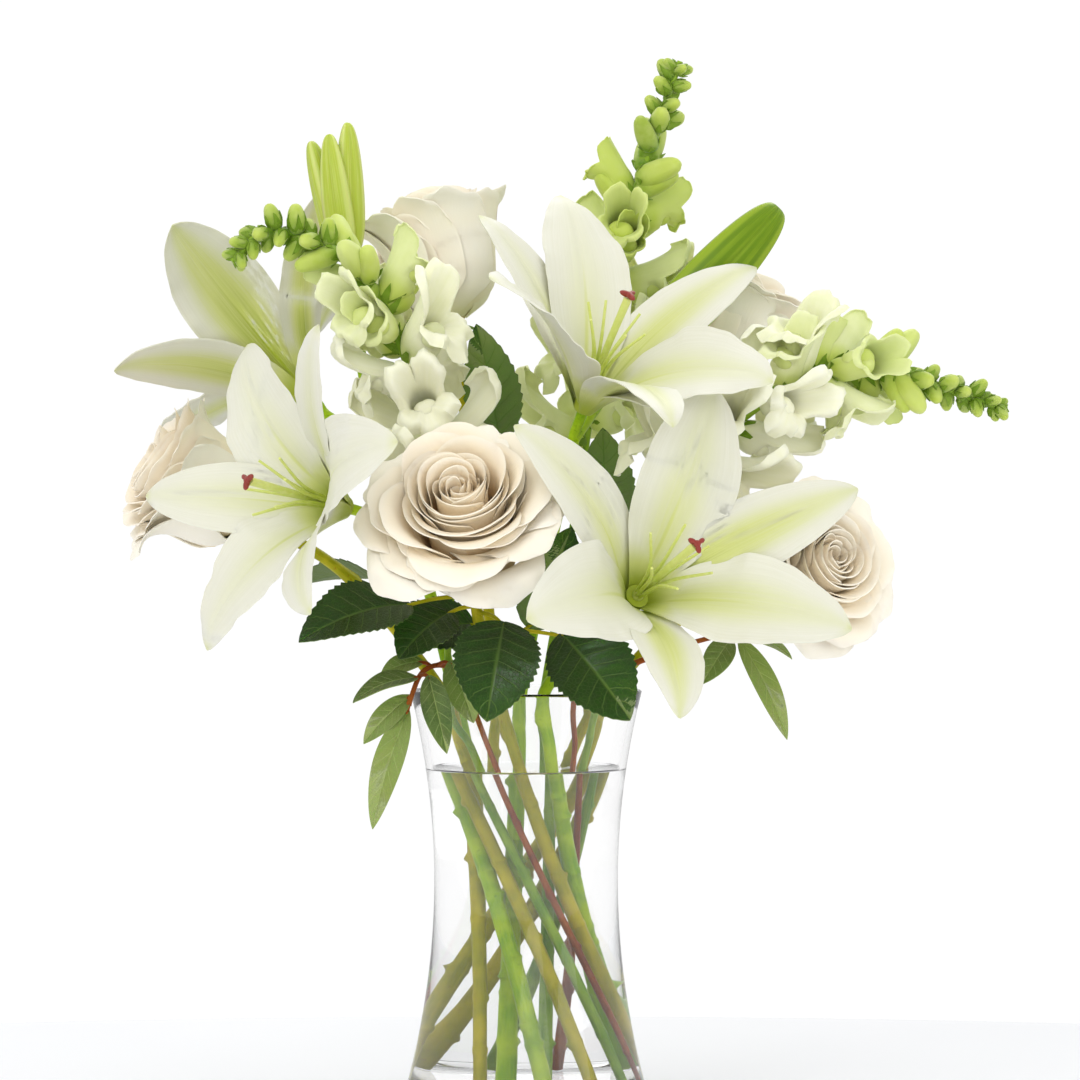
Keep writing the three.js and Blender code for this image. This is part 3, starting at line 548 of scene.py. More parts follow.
# ---- roses
# (opening, petals in the whorl, its height, extra turn): closed at the heart, wide at the outside
WHORLS = [
    (0.1, 3, 0.95, 0), (0.2, 3, 0.98, 50), (0.3, 3, 1.0, 95), (0.4, 3, 1.01, 20), (0.46, 3, 0.93, 62),
    (0.52, 3, 1.02, GOLDEN), (0.6, 4, 0.91, 15), (0.66, 4, 1.01, GOLDEN + 48), (0.73, 4, 0.9, 118),
    (0.8, 4, 1.0, 70), (0.85, 4, 0.88, 20), (0.91, 5, 0.98, 2 * GOLDEN + 36), (1.0, 5, 1.0, 2 * GOLDEN),
]


def rose_petal(count, opening, turn, bloom, tall, chance):
    """One petal in its bloom's frame. Inner ones wrap round each other; outer rims roll back and ripple."""
    length = bloom["height"] * mix(0.92, 1.06, opening) * tall * mix(0.96, 1.03, scatter(chance * 31))
    foot = mix(1.5, 7, opening)
    lift = mix(5, 0.6, opening)
    droop = -sin(radians(turn))
    lean_foot = mix(8, 66 + 8 * droop, opening**0.75)
    lean_side = mix(-3, 12, opening) * bloom["open"] + 14 * (chance - 0.5) * opening
    lean_rim = mix(-12, 92 + 26 * droop, opening**2) * bloom["open"]
    roll = mix(8, 46, opening) * bloom["open"] * mix(0.6, 1.3, chance)
    share = pi / count
    wrap = mix(1.8, 1.3, smooth((opening - 0.3) / 0.5))
    frill = opening**2
    broad = smooth((opening - 0.45) / 0.3)

    def place(s, a):
        point = 0.04 * bump_at(a, 0.4 * (chance - 0.5), 0.2) * frill * s * s
        rows = s * (1 - mix(0.03, 0.05, broad) * a * a - mix(0.07, 0.13, broad) * a**4 + point)
        uneven = mix(0.55, 1, abs(sin(2.3 * a + 7 * chance)))
        r, z = foot, lift
        steps = 14
        for i in range(steps):
            t = (i + 0.5) / steps * rows
            lean = mix(mix(lean_foot, lean_side, smooth(t / 0.5)), lean_rim, smooth((t - 0.5) / 0.5))
            lean = radians(lean + roll * smooth((t - 0.82) / 0.16) * uneven)
            r += sin(lean) * length * rows / steps
            z += cos(lean) * length * rows / steps
        rounding = 1 - mix(0.12, 0.3, broad) * clamp((s - 0.6) / 0.4) ** 2.6
        reach = share * mix(0.5, wrap, smooth((s - 0.05) / 0.4)) * rounding
        tuck = a * mix(1.4, 4, opening) * smooth((s - 0.05) / 0.3)
        ruffle = frill * s**3 * (1.1 * sin(3.8 * a + 9 * chance) + 0.6 * sin(8.3 * a + 4 * chance))
        ruffle += frill * s**9 * 0.3 * sin(17 * a + 11 * chance)
        angle = radians(turn) + reach * a
        out = r + tuck + 0.6 * ruffle
        return Vector((out * cos(angle), out * sin(angle), z + 0.8 * ruffle))

    return place


def rose_heart(bloom):
    """The rolled innermost petals: one long strip wound three times round, its rim turned out a little."""
    top = 0.9 * bloom["height"]

    def place(s, a):
        t = (a + 1) / 2
        radius = mix(0.9, 7.6, t**0.9) + 1.3 * s**7
        angle = radians(bloom["turn"]) + 2 * pi * 3.2 * t
        rim = top * mix(0.93, 1.03, t) + 0.9 * sin(11 * t)
        return Vector((radius * cos(angle), radius * sin(angle), mix(0.35 * top, rim, s)))

    return place


def make_rose(i, bloom):
    """The bloom turns to its facing: petals in whorls round a rolled heart, on a low green-white cup."""
    matrix = turn_to(bloom["facing"], bloom["foot"])
    bm = new_mesh()
    cup = upright(0, 2, 4.5, 6.4, ROSE_CORE["height"])

    def cup_radius(s, _):
        return ROSE_CORE["radius"] * (1 - 0.5 * s**3) * (0.7 + 0.3 * smooth(s / 0.3))

    add_rod(bm, cup, cup_radius, 20, chance=0.5, age=1.0, matrix=matrix, low=True)
    add_sheet(bm, rose_heart(bloom), *GRIDS["heart"], PETAL_THICKNESS, 0, 0.5, bloom["blush_and_glow"], matrix)
    for w, (opening, count, tall, extra) in enumerate(WHORLS):
        for k in range(count):
            turn = bloom["turn"] + extra + 360 / count * k
            chance = scatter(i * 100 + w * 10 + k)
            petal = rose_petal(count, opening, turn, bloom, tall, chance)
            # inner whorls get more peach: the rose's own peach heart, and with it painted warm glow in the
            # folds
            peach_and_glow = bloom["blush_and_glow"] * (1 - opening) ** 0.55
            add_sheet(bm, petal, *GRIDS["rose"], PETAL_THICKNESS, 0, chance, peach_and_glow, matrix)
    finish_piece(bm, f"rose_{i + 1}_petals", f"rose_{i + 1}_bloom", "rose_petal", "rose")


def sepal(turn, length, chance):
    """A narrow green sepal turned back under the bloom."""
    def place(s, a):
        reach = (2.6 * (1 - s) ** 0.8 + 0.25) * a
        out = 3.6 + length * s
        z = -2.8 - 6.6 * s**1.3 + 1.6 * sin(3.4 * s) * chance - 0.05 * reach * reach
        return Matrix.Rotation(radians(turn), 4, "Z") @ Vector((out, reach, z))

    return place


def make_rose_stem(i, bloom):
    radius = STEM_RADIUS["rose"]
    bm = new_mesh()
    points = add_stem(bm, bloom, radius, 2.5, 12, 0, 7, 300 + i)
    add_rod(bm, through([points[-1], below(bloom, 5)], 3), lambda s, _: 2.5, 12, 0)
    matrix = turn_to(bloom["facing"], bloom["foot"])
    hip = matrix @ Matrix.Translation((0, 0, -HIP["height"] - GAP))

    def hip_radius(s, _):
        return HIP["radius"] * sin(pi * s**1.3) ** 0.7

    add_spindle(bm, HIP["height"], hip_radius, 18, 12, hip, slot=1)
    for k in range(5):
        chance = scatter(i * 10 + k)
        blade = sepal(bloom["turn"] + 72 * k, mix(10.5, 12.5, chance), chance)
        add_sheet(bm, blade, *GRIDS["sepal"], LEAF_THICKNESS, 1, chance, 0.2, matrix)
    add_leaves(bm, points, bloom["leaves"], 2, 0, i * 20)
    greens = ("rose_stem", "calyx", "rose_leaf")
    finish_piece(bm, f"rose_{i + 1}_stalk_and_leaves", f"rose_{i + 1}_stem", "rose_green", *greens)


# ---- lilies
def midline(s, length, lean_foot, lean_tip, power, hook):
    """How far a tepal's middle has gone outwards and upwards at s, and how it leans there."""
    steps = 16
    out = up = 0
    for i in range(steps):
        t = (i + 0.5) / steps * s
        lean = radians(mix(lean_foot, lean_tip, t**power) + hook * smooth((t - 0.84) / 0.16))
        out += sin(lean) * length * s / steps
        up += cos(lean) * length * s / steps
    return out, up, radians(mix(lean_foot, lean_tip, s**power) + hook * smooth((s - 0.84) / 0.16))


def tepal_place(turn, length, width, lean_tip, twist, inner, phase):
    """A tepal: three broad waved ones inside and three narrow ones outside. Their feet form a tube, and a
    channel runs along each one's middle."""
    cos_turn, sin_turn = cos(radians(turn)), sin(radians(turn))

    def place(s, a):
        out, up, tilt = midline(s, length, TEPAL["lean_foot"], lean_tip, 1.1, 16)
        r = TEPAL["throat"] + out
        free = width / 2 * (0.25 * (1 - s) ** 2 + 2.6 * s**0.7 * (1 - s) ** 0.75 + 0.03)
        tube = r * (0.95 if inner else 0.85)
        reach = (free**-4 + tube**-4) ** -0.25
        flat = smooth(s / 0.4)
        angle = reach * a / r
        ripple = sin(12 * s + phase + (1.7 if a > 0 else 0))
        wave = 0.2 * ripple * smooth((s - 0.15) / 0.3) * (1 - s) if inner else 0
        cup = 0.32 * (1 - s) + 0.04 - 0.16 * s * s if inner else 0.1 - 0.2 * s * s
        curl = reach * (cup + wave) * a * a + twist * reach * a
        lift = (TEPAL["layer"] if inner else -TEPAL["layer"]) + curl * flat
        frill = sin(31 * s + 3 * phase + (2 if a > 0 else 0)) + 0.6 * sin(57 * s + phase)
        lift += (0.75 if inner else 0.3) * frill * abs(a) ** 3 * smooth((s - 0.25) / 0.3) * (1 - s) ** 0.4
        ridges = 0.16 * cos(a * reach * 1.9) * smooth(s / 0.3) * (1 - s)
        channel = 0.75 * bump_at(a * reach, 0, 1.3) * smooth(s / 0.08) * (1 - smooth((s - 0.7) / 0.3))
        lift += ridges - channel
        stand = lift * cos(tilt)
        x = mix((r - stand) * cos(angle), r - stand, flat)
        y = mix((r - stand) * sin(angle), reach * a, flat)
        return Vector((x * cos_turn - y * sin_turn, x * sin_turn + y * cos_turn, up + lift * sin(tilt)))

    return place


def make_lily(i, bloom):
    matrix = turn_to(bloom["facing"], bloom["foot"])
    bm = new_mesh()
    core = upright(LILY_CORE["bottom"], 0.5, 3, LILY_CORE["top"])

    def core_radius(s, _):
        return LILY_CORE["radius"] * (0.82 + 0.18 * smooth(s / 0.4))

    add_rod(bm, core, core_radius, 18, chance=0.5, age=1.0, matrix=matrix, low=True)
    for k, (turn, length, lean_tip, green, *twist) in enumerate(bloom["tepals"]):
        inner = k % 2 == 0
        width = bloom["width"] * (1 if inner else 0.72)
        place = tepal_place(turn, length, width, lean_tip, sum(twist), inner, k * 1.3)
        age = clamp(green * 0.7 + bloom["green"] * 0.4)
        grid = GRIDS["inner" if inner else "outer"]
        add_sheet(bm, place, *grid, PETAL_THICKNESS, 0, scatter(i * 9 + k), age, matrix)
    finish_piece(bm, f"lily_{i + 1}_tepals", f"lily_{i + 1}_bloom", "lily_petal", "lily")

    bm = new_mesh()
    floor = LILY_CORE["top"] + GAP
    length = bloom["pistil"]
    disc = upright(floor, floor + 1, floor + 2.4, floor + 3)
    add_rod(bm, disc, lambda s, _: 2.6 * (1 - 0.3 * s * s), 16, chance=0.4, age=0.6, matrix=matrix)
    middle, tip = Vector((0.5, 0, floor + length / 2)), Vector((2, 0, floor + length))
    rod = through([Vector((0, 0, floor + 1)), middle, tip], 8)

    def pistil_radius(s, turn):
        return PISTIL_RADIUS * (1 + 0.05 * cos(3 * turn)) * mix(0.85, 1.15, s)

    add_rod(bm, rod, pistil_radius, 12, chance=0.2, age=0.3, matrix=matrix)
    for k, tepal in enumerate(bloom["tepals"]):
        end = polar(length * 0.3, tepal[0], floor + length * 0.8)
        bend = polar(length * 0.1, tepal[0], floor + length * 0.42)
        thread = through([polar(1.3, tepal[0], floor + 2), bend, end], 6)
        add_rod(bm, thread, lambda s, _: mix(1.15, 0.6, s**0.8), 8, 0, scatter(k), age=0.15, matrix=matrix)
    finish_piece(bm, f"lily_{i + 1}_pistil_and_threads", f"lily_{i + 1}_style", "style", "style")

    bm = new_mesh()
    foot = matrix @ Matrix.Translation((2, 0, floor + length + GAP))

    def lobed(s, turn):
        reach = STIGMA["middle"] + STIGMA["lobe"] * max(0, cos(3 * turn - pi / 2)) ** 0.8
        return reach * sin(pi * s) ** 0.55 * (0.75 + 0.25 * s)

    add_spindle(bm, STIGMA["height"], lobed, 36, 12, foot, chance=0.5)
    name = f"lily_{i + 1}_stigma"
    finish_piece(bm, f"{name}_lobes", name, "stigma", "stigma", sharp=80)


def bud_radius(radius, groove, widest=0.85, blunt=0.7):
    """A lily bud: three rounded sides, with a rib along each tepal's middle and a groove where they meet."""
    def radius_at(s, turn):
        whole = radius * (sin(pi * s**widest) ** blunt + 0.03) * (1 + 0.09 * cos(3 * turn))
        fade = smooth(s / 0.1) * smooth((1 - s) / 0.06)
        seam = bump_at(cos(1.5 * turn), 0, 0.16) * groove * fade
        rib = bump_at(cos(1.5 * turn + pi / 2), 0, 0.12) * groove * 0.6 * fade
        return max(whole * (1 - seam + rib), 0.15)

    return radius_at


def make_buds():
    bm = new_mesh()
    matrix = turn_to(GREEN_BUD["facing"], GREEN_BUD["foot"])
    length, swell, bow = GREEN_BUD["length"], bud_radius(GREEN_BUD["radius"], 0.09), GREEN_BUD["bow"]
    add_spindle(bm, length, swell, 60, 48, matrix, chance=0.3, age=0.85, bow=bow)
    finish_piece(bm, "lily_green_bud", "lily_bud_green", "lily_bud", "bud", sharp=80)

    bm = new_mesh()
    base = Vector(BUD_CLUSTER["foot"])
    stub = [base + p for p in upright(-0.3, 1, 2.6, 4)]
    add_rod(bm, stub, lambda s, _: 3 * (1 - 0.3 * s), 14, chance=0.5, age=0.6)
    swell = bud_radius(BUD_CLUSTER["radius"], 0.12, 0.7, 0.8)
    for k, tip in enumerate(BUD_CLUSTER["tips"]):
        way = Vector(tip) - base
        start = base.lerp(Vector(tip), 0.14)
        turned = turn_to(way, start)
        add_spindle(bm, way.length * 0.86, swell, 36, 30, turned, 0, scatter(k), age=0.35)
        neck = [base.lerp(start, t) for t in (0, 0.5, 1.2)]
        add_rod(bm, neck, lambda s, _: 1.8, 10, 0, scatter(k), age=0.6)
    finish_piece(bm, "lily_young_buds", "lily_bud_cluster", "lily_bud", "bud", sharp=80)


def make_lily_stem(i, stem):
    radius = STEM_RADIUS["lily"]
    bm = new_mesh()
    points = add_stem(bm, stem, radius, 2.6, 16, 0, 9, 500 + i)
    for k in stem["heads"]:
        head = [*LILIES, GREEN_BUD][k]
        seat = GAP if head is GREEN_BUD else GAP - LILY_CORE["bottom"]
        root = nearest(points, below(head, 34))
        neck = through([root, below(head, 16), below(head, 6), below(head, seat)], 5)
        add_rod(bm, neck, lambda s, _: mix(2.3, 2.5, s * s), 12, 0, scatter(k), age=0.2)
    name = stem["name"]
    finish_piece(bm, f"lily_stalk_{name}", f"lily_stem_{name}", "lily_stem", "lily_stem")


# ---- snapdragons
# The lips of an open floret: (turn, reach, height, half width in degrees). Two lobes stand up behind, three
# spread in front.
LOBES = [(50, 12, 26, 46), (130, 12, 26, 46), (212, 12, 15, 34), (270, 13.5, 12, 34), (328, 12, 15, 34)]
BUDS_PER_STEP = 3


@functools.lru_cache(maxsize=None)
def lips_at(turn):
    """How far out and how high the lips reach at a turn."""
    reach, height = 6.0, 15.0
    for at, lobe_reach, lobe_height, half_width in LOBES:
        off = abs((turn - at + 180) % 360 - 180) / half_width
        if off < 1:
            part = (1 - off**2.4) ** 0.5
            reach = max(reach, mix(6.0, lobe_reach, part))
            lobe = mix(15.0, lobe_height, part)
            height = lobe if lobe_height > 15 else min(height, lobe)
    return reach, height


def floret(scale, chance, opened):
    """A pouched tube that ends in two ruffled lips. opened 1 spreads them, less lets them stand up."""
    def place(s, a):
        turn = 180 * a
        lip_reach, lip_height = lips_at(turn)
        front = max(0.0, -sin(radians(turn)))
        reach = mix(3.6, lip_reach, opened)
        height = mix(20, lip_height, opened)
        tube, deep, share = TUBE["radius"], TUBE["height"], TUBE["share"]
        around = radians(turn)
        if s < share:
            t = s / share
            r = tube * sin(pi / 2 * t**0.8) ** 0.8 + 0.9 * front * sin(pi * t)
            z = deep * t
        else:
            t = clamp((s - share) / (1 - share))
            r = tube + (reach - tube) * t**1.3 + 0.8 * sin(pi * t) * (1 - opened)
            r *= 1 - 0.62 * opened * front**0.6 * bump_at(t, 0.14, 0.16)
            rise = mix(t, sin(2.05 * t) / sin(2.05), opened)
            z = deep + (height - deep) * rise + 3.4 * opened * front * sin(pi * t)
            frill = sin(around * 9 + 8 * chance) + 0.7 * sin(around * 16 + 5 * chance)
            r += 0.5 * frill * t**3 * opened**1.5
            z += 0.65 * frill * t**3 * opened**1.5
        x, y = 0.9 * r * cos(around), 1.06 * r * sin(around)
        return Vector((scale * x, scale * y, scale * z))

    return place


def palate_radius(scale):
    """The cushion of the lower lip that shuts a floret's mouth: two bulges side by side."""
    def radius_at(s, turn):
        return scale * 3.7 * sin(pi * s) ** 0.7 * (0.8 + 0.3 * abs(cos(turn)))

    return radius_at


def shut_floret(scale):
    """A floret before it opens: plump and long, its upper lip folded over the lower one."""
    def radius_at(s, turn):
        whole = 4.5 * scale * sin(pi * s**0.72) ** 0.62
        fold = bump_at(sin(turn), -0.25, 0.14) * smooth((s - 0.4) / 0.2) * smooth((1 - s) / 0.12)
        return max(whole * (1 - 0.16 * fold + 0.04 * cos(3 * turn)), 0.12)

    return radius_at


def bud_swell(wide, folds=0.05):
    def radius_at(s, turn):
        return max(wide * sin(pi * s**0.85) ** 0.75 * (1 + folds * cos(5 * turn)), 0.12)

    return radius_at


def add_calyx(bm, matrix, radius_of, tall, chance):
    """Five pointed sepals that hug a floret's foot. radius_of(height) is what they close on."""
    def place(s, a):
        point = 0.3 + 0.7 * (1 - abs(sin(2.5 * pi * a + 3 * chance))) ** 1.1
        z = tall * s * point
        r = radius_of(z) + 0.3 + 0.9 * s * s * point
        return Vector((r * cos(pi * a), r * sin(pi * a), z - 0.2))

    add_sheet(bm, place, *GRIDS["calyx"], CALYX_THICKNESS, 2, chance, 1.0, matrix, seam=True)


def paling(foot, lips, until):
    """The age of a floret's skin, which is greener towards its foot."""
    return lambda s: lips + foot * (1 - smooth(s / until))


def make_snapdragon(i, entry):
    """A spike: open florets below, half-open ones above them, then green buds crowded to the tip."""
    bm = new_mesh()
    add_stem(bm, entry, STEM_RADIUS["snapdragon"], 1.3, 12, 1, 6, 700 + i)
    coarse = stem_points(entry, STEM_RADIUS["snapdragon"], 2)[2]
    curve = through(coarse, 8, 0.5)
    opened, swelling, buds = entry["open"], entry["swelling"], entry["buds"]
    florets = opened + swelling + buds

    def stand(way, turn, lean, sunk):
        """Where a floret stands on the spike, its upper lip towards the tip."""
        root, stem_way = along_curve(curve, mix(entry["from"], 0.985, min(way, 1)))
        level = Vector((0, 0, 1)).cross(stem_way).normalized()
        outward = level * cos(radians(turn)) + stem_way.cross(level) * sin(radians(turn))
        facing = stem_way * cos(radians(lean)) + outward * sin(radians(lean))
        lip = (stem_way - facing * stem_way.dot(facing)).normalized()
        matrix = Matrix((lip.cross(facing), lip, facing)).transposed().to_4x4()
        matrix.translation = root - facing * sunk
        return matrix

    def tube_radius(scale):
        wide, deep = TUBE["radius"] * scale, TUBE["height"] * scale
        return lambda z: wide * sin(pi / 2 * clamp(z / deep)) ** 0.7

    def add_floret(matrix, scale, chance, spread, green):
        lips, age = floret(scale, chance, spread), paling(0.3, green, 0.5)
        add_sheet(bm, lips, *GRIDS["floret"], LIP_THICKNESS, 0, chance, age, matrix, seam=True)
        mouth = matrix @ Matrix.Translation((0, -1.9 * scale, mix(10, 8, spread) * scale))
        add_spindle(bm, 6.8 * scale, palate_radius(scale), 20, 10, mouth, 0, chance, green + 0.12)
        add_calyx(bm, matrix, tube_radius(scale), 7 * scale, chance)

    for n in range(florets):
        way = n / (florets - 1)
        turn = entry["turn"] + GOLDEN * n
        lean = mix(70, 30, way) + 8 * scatter(n)
        chance = scatter(i * 60 + n + 3)
        if n < opened:
            scale = SPIKE_SIZE * mix(1.15, 0.9, n / opened)
            add_floret(stand(way, turn, lean, 0.4), scale, chance, 1.0, entry["green"])
            continue
        late = (n - opened) / (swelling + entry["late"])
        if late < 1:
            for k in range(2):
                scale = SPIKE_SIZE * mix(25, 17, late) / 22 * mix(1, 0.85, k) * entry["plump"]
                green = mix(0.16, 0.55, late + 0.3 * k) + entry["green"] * 0.3
                matrix = stand(way + 0.5 * k / (florets - 1), turn + 150 * k, lean + 14 * late, 0.4)
                ready = 1 - late - 0.35 * k
                if ready > 0.3:
                    add_floret(matrix, scale, scatter(i * 60 + n * 2 + k), mix(0.2, 0.9, ready), green)
                    continue
                long = 20 * scale
                swell = shut_floret(scale)
                add_spindle(bm, long, swell, 20, 14, matrix, 0, chance, paling(0.35, green, 0.6))
                add_calyx(bm, matrix, lambda z: swell(clamp(z / long), 0), 6.5 * scale, chance)
            continue
        late = (n - opened - swelling) / buds
        for k in range(BUDS_PER_STEP):
            part = k / BUDS_PER_STEP
            step_up = n * BUDS_PER_STEP + k
            chance = scatter(i * 60 + step_up)
            small = SPIKE_SIZE * mix(1.0, 0.78, late) * mix(1.08, 0.8, chance)
            tall, wide = mix(12, 7.5, late) * small, mix(3.5, 2.3, late) * small
            around = entry["turn"] + GOLDEN * step_up + mix(-24, 24, scatter(step_up * 7))
            matrix = stand(way + part / (florets - 1), around, lean + mix(10, 34, scatter(step_up * 3)), 0.2)
            foot, tip = 0.95 + 0.1 * late, 0.5 + 0.1 * late
            add_spindle(bm, tall, bud_swell(wide), 14, 10, matrix, 0, chance, lambda s: mix(foot, tip, s))
            swell = bud_swell(wide, 0)
            add_calyx(bm, matrix, lambda z: swell(clamp(z / tall) ** 0.9, 0) * 0.95, tall * 0.8, chance)
    skins = ("snapdragon", "snapdragon_stem", "calyx")
    finish_piece(bm, f"snapdragon_{i + 1}_spike", f"snapdragon_{i + 1}", "snapdragon", *skins)


def make_sprig(i, entry):
    radius = STEM_RADIUS["sprig"]
    bm = new_mesh()
    points = add_stem(bm, entry, radius, 1.1, 9, 0, 8, 900 + i)
    add_leaves(bm, points, entry["leaves"], 1, 0, 40 + i * 20)
    name = f"sprig_{entry['name']}"
    finish_piece(bm, f"{name}_twig", name, "sprig_green", "sprig_stem", "sprig_leaf")


# ---- materials
def paint(hex_colour):
    """An sRGB hex colour as the linear one that a shader takes."""
    parts = [int(hex_colour[k : k + 2], 16) / 255 for k in (1, 3, 5)]
    return (*(c / 12.92 if c <= 0.04045 else ((c + 0.055) / 1.055) ** 2.4 for c in parts), 1.0)


class Nodes:
    """Adds nodes to the tree of a material or a world."""

    def __init__(self, owner):
        owner.use_nodes = True
        self.tree = owner.node_tree
        self.tree.nodes.clear()

    def add(self, kind, inputs=None, **settings):
        """Each input takes a value, an sRGB hex colour, a socket, or a node's first output."""
        made = self.tree.nodes.new(kind)
        for name, value in settings.items():
            setattr(made, name, value)
        for name, value in (inputs or {}).items():
            if isinstance(value, bpy.types.Node):
                value = value.outputs[0]
            if isinstance(value, bpy.types.NodeSocket):
                self.tree.links.new(value, made.inputs[name])
            else:
                made.inputs[name].default_value = paint(value) if isinstance(value, str) else value
        return made

    def sum_of(self, operation, first, second=0.0):
        return self.add("ShaderNodeMath", {0: first, 1: second}, operation=operation).outputs[0]

    def times(self, *values):
        return functools.reduce(functools.partial(self.sum_of, "MULTIPLY"), values)

    def larger(self, *values):
        return functools.reduce(functools.partial(self.sum_of, "MAXIMUM"), values)

    def blend(self, share, first, second):
        """A colour between two others."""
        return self.add("ShaderNodeMix", {0: share, 6: first, 7: second}, data_type="RGBA").outputs[2]

    def step(self, value, start, end, low=0.0, high=1.0):
        """A soft step from low to high as value goes from start to end."""
        limits = {"Value": value, "From Min": start, "From Max": end, "To Min": low, "To Max": high}
        return self.add("ShaderNodeMapRange", limits, interpolation_type="SMOOTHSTEP").outputs[0]


class Skin(Nodes):
    """A material in the making."""

    def __init__(self, name):
        self.material = bpy.data.materials.new(name)
        super().__init__(self.material)

    def kept(self, name, output="Fac"):
        """What the mesh keeps under that name."""
        return self.add("ShaderNodeAttribute", attribute_name=name).outputs[output]

    def place(self):
        """Where a point is on its petal: across, how far from the midrib, along, and its chance number."""
        parts = self.add("ShaderNodeSeparateXYZ", {"Vector": self.kept("petal", "Vector")})
        across, along, chance = parts.outputs
        return across, self.sum_of("ABSOLUTE", across), along, chance

    def streaks(self, place, lines, length):
        """Fine lines that run along a petal, the same number on each however long it is."""
        across, _, along, chance = place
        spot = {"X": self.times(across, lines), "Y": self.times(along, length), "Z": self.times(chance, 37.0)}
        where = self.add("ShaderNodeCombineXYZ", spot)
        grain = {"Vector": where, "Scale": 1.0, "Detail": 3.0, "Roughness": 0.6}
        return self.add("ShaderNodeTexNoise", grain).outputs[0]

    def spot(self):
        """A point's place in the piece's own space."""
        return self.add("ShaderNodeTexCoord").outputs["Object"]

    def mottle(self, size_mm, detail=4.0):
        """Soft patches about size_mm across."""
        grain = {"Vector": self.spot(), "Scale": 1 / (size_mm * MM), "Detail": detail}
        return self.add("ShaderNodeTexNoise", grain).outputs[0]

    def finish(self, colour, rough, ior=1.4, relief=None, shine=0.5, glow=None, **more):
        """relief: (height, its depth in millimetres, strength). glow: (weight, reach in metres, colour of the
        light that comes through)."""
        inputs = {"Base Color": colour, "Roughness": rough, "IOR": ior, "Specular IOR Level": shine, **more}
        if relief:
            height, depth_mm, strength = relief
            bump = {"Strength": strength, "Distance": depth_mm * MM, "Height": height}
            inputs["Normal"] = self.add("ShaderNodeBump", bump)
        if glow:
            weight, reach, colours = glow
            inputs |= {"Subsurface Weight": weight, "Subsurface Radius": colours, "Subsurface Scale": reach}
        shader = self.add("ShaderNodeBsdfPrincipled", inputs)
        self.add("ShaderNodeOutputMaterial", {"Surface": shader})
        return self.material


WHITE_GLOW = (1.0, 1.0, 0.95)


def lily_tepal():
    """Lily tepal, grown: a thick waxy white skin that lets light through. It shows a green throat and midrib,
    fine veins along it, and a green tip."""
    skin = Skin("lily_tepal_waxy_white")
    step, times = skin.step, skin.times
    place, age = skin.place(), skin.kept("age")
    _, off_rib, along, _ = place
    fine = skin.streaks(place, 26.0, 2.2)
    throat = step(along, 0.32, 0.03)
    rib = step(off_rib, step(along, 0.0, 0.9, 0.2, 0.05), 0.0)
    rib = times(rib, step(along, 0.85, 0.2, 0.12, 0.8), step(age, 0.0, 1.0, 0.55, 1.3))
    flush = times(step(age, 0.0, 1.0, 0.2, 0.95), step(off_rib, 0.9, 0.05, 0.05, 1.0))
    flush = times(flush, step(along, 1.0, 0.2, 0.45, 1.0), step(fine, 0.25, 0.75, 0.8, 1.05))
    tip = times(step(along, 0.9, 1.05), step(off_rib, 1.2, 0.0, 0.3, 0.5))
    green = skin.larger(throat, rib, flush, tip)
    white = skin.blend(fine, "#dddcc8", "#e9e8dc")
    pale = skin.blend(step(green, 0.0, 0.6), white, "#d2d78a")
    colour = skin.blend(step(green, 0.5, 1.1), pale, "#a3b222")
    bloom = {"Sheen Weight": 0.08, "Sheen Roughness": 0.4}
    return skin.finish(colour, 0.42, 1.42, (fine, 0.35, 0.35), 0.45, (0.4, 0.00015, WHITE_GLOW), **bloom)


def rose_petal_cream():
    """Rose petal, grown: velvety cream with a peach heart, a faint green foot and thin pale rims. The peach
    is partly the rose's own colour and partly painted warm glow: it deepens low in the inner petals, down in
    the folds, in place of light that shines through the petals there.
    """
    skin = Skin("rose_petal_velvet_cream")
    step, times = skin.step, skin.times
    place, age = skin.place(), skin.kept("age")
    along = place[2]
    fine = skin.streaks(place, 22.0, 3.0)
    cream = skin.blend(skin.mottle(14), "#fff5e0", "#fffbf0")
    # deep is 1 low in each petal, down in the folds: there the peach is made deeper as painted warm glow
    deep = step(along, 0.95, 0.35, 0.0, 1.0)
    peach_and_glow = skin.blend(times(age, step(deep, 0.0, 1.0, 0.3, 1.1)), cream, "#ffd692")
    footed = skin.blend(step(along, 0.3, 0.02, 0.0, 0.6), peach_and_glow, "#e6e2a2")
    colour = skin.blend(times(step(along, 0.93, 1.0), 0.45), footed, "#fbf6ea")
    return skin.finish(colour, 0.6, 1.4, (fine, 0.25, 0.3), 0.3, (0.2, 0.00012, WHITE_GLOW))


def snapdragon_petal():
    """Snapdragon floret, grown: white and downy where open, yellow-green as it swells, green in bud."""
    skin = Skin("snapdragon_floret_downy")
    step = skin.step
    age = skin.kept("age")
    fine = skin.streaks(skin.place(), 16.0, 2.0)
    white = skin.blend(fine, "#f2f2d2", "#fcfbea")
    half = skin.blend(step(age, 0.02, 0.6), white, "#cbda62")
    bud = skin.blend(step(age, 0.45, 1.0), half, "#6a9212")
    patchy = skin.blend(step(skin.mottle(5), 0.35, 0.7, 0.0, 0.3), bud, "#d2dc8c")
    colour = skin.blend(step(age, 0.0, 0.4), white, patchy)
    down = {"Sheen Weight": 0.15, "Sheen Roughness": 0.5}
    return skin.finish(colour, 0.5, 1.4, (fine, 0.3, 0.35), 0.4, (0.6, 0.0004, (1.0, 1.0, 0.9)), **down)


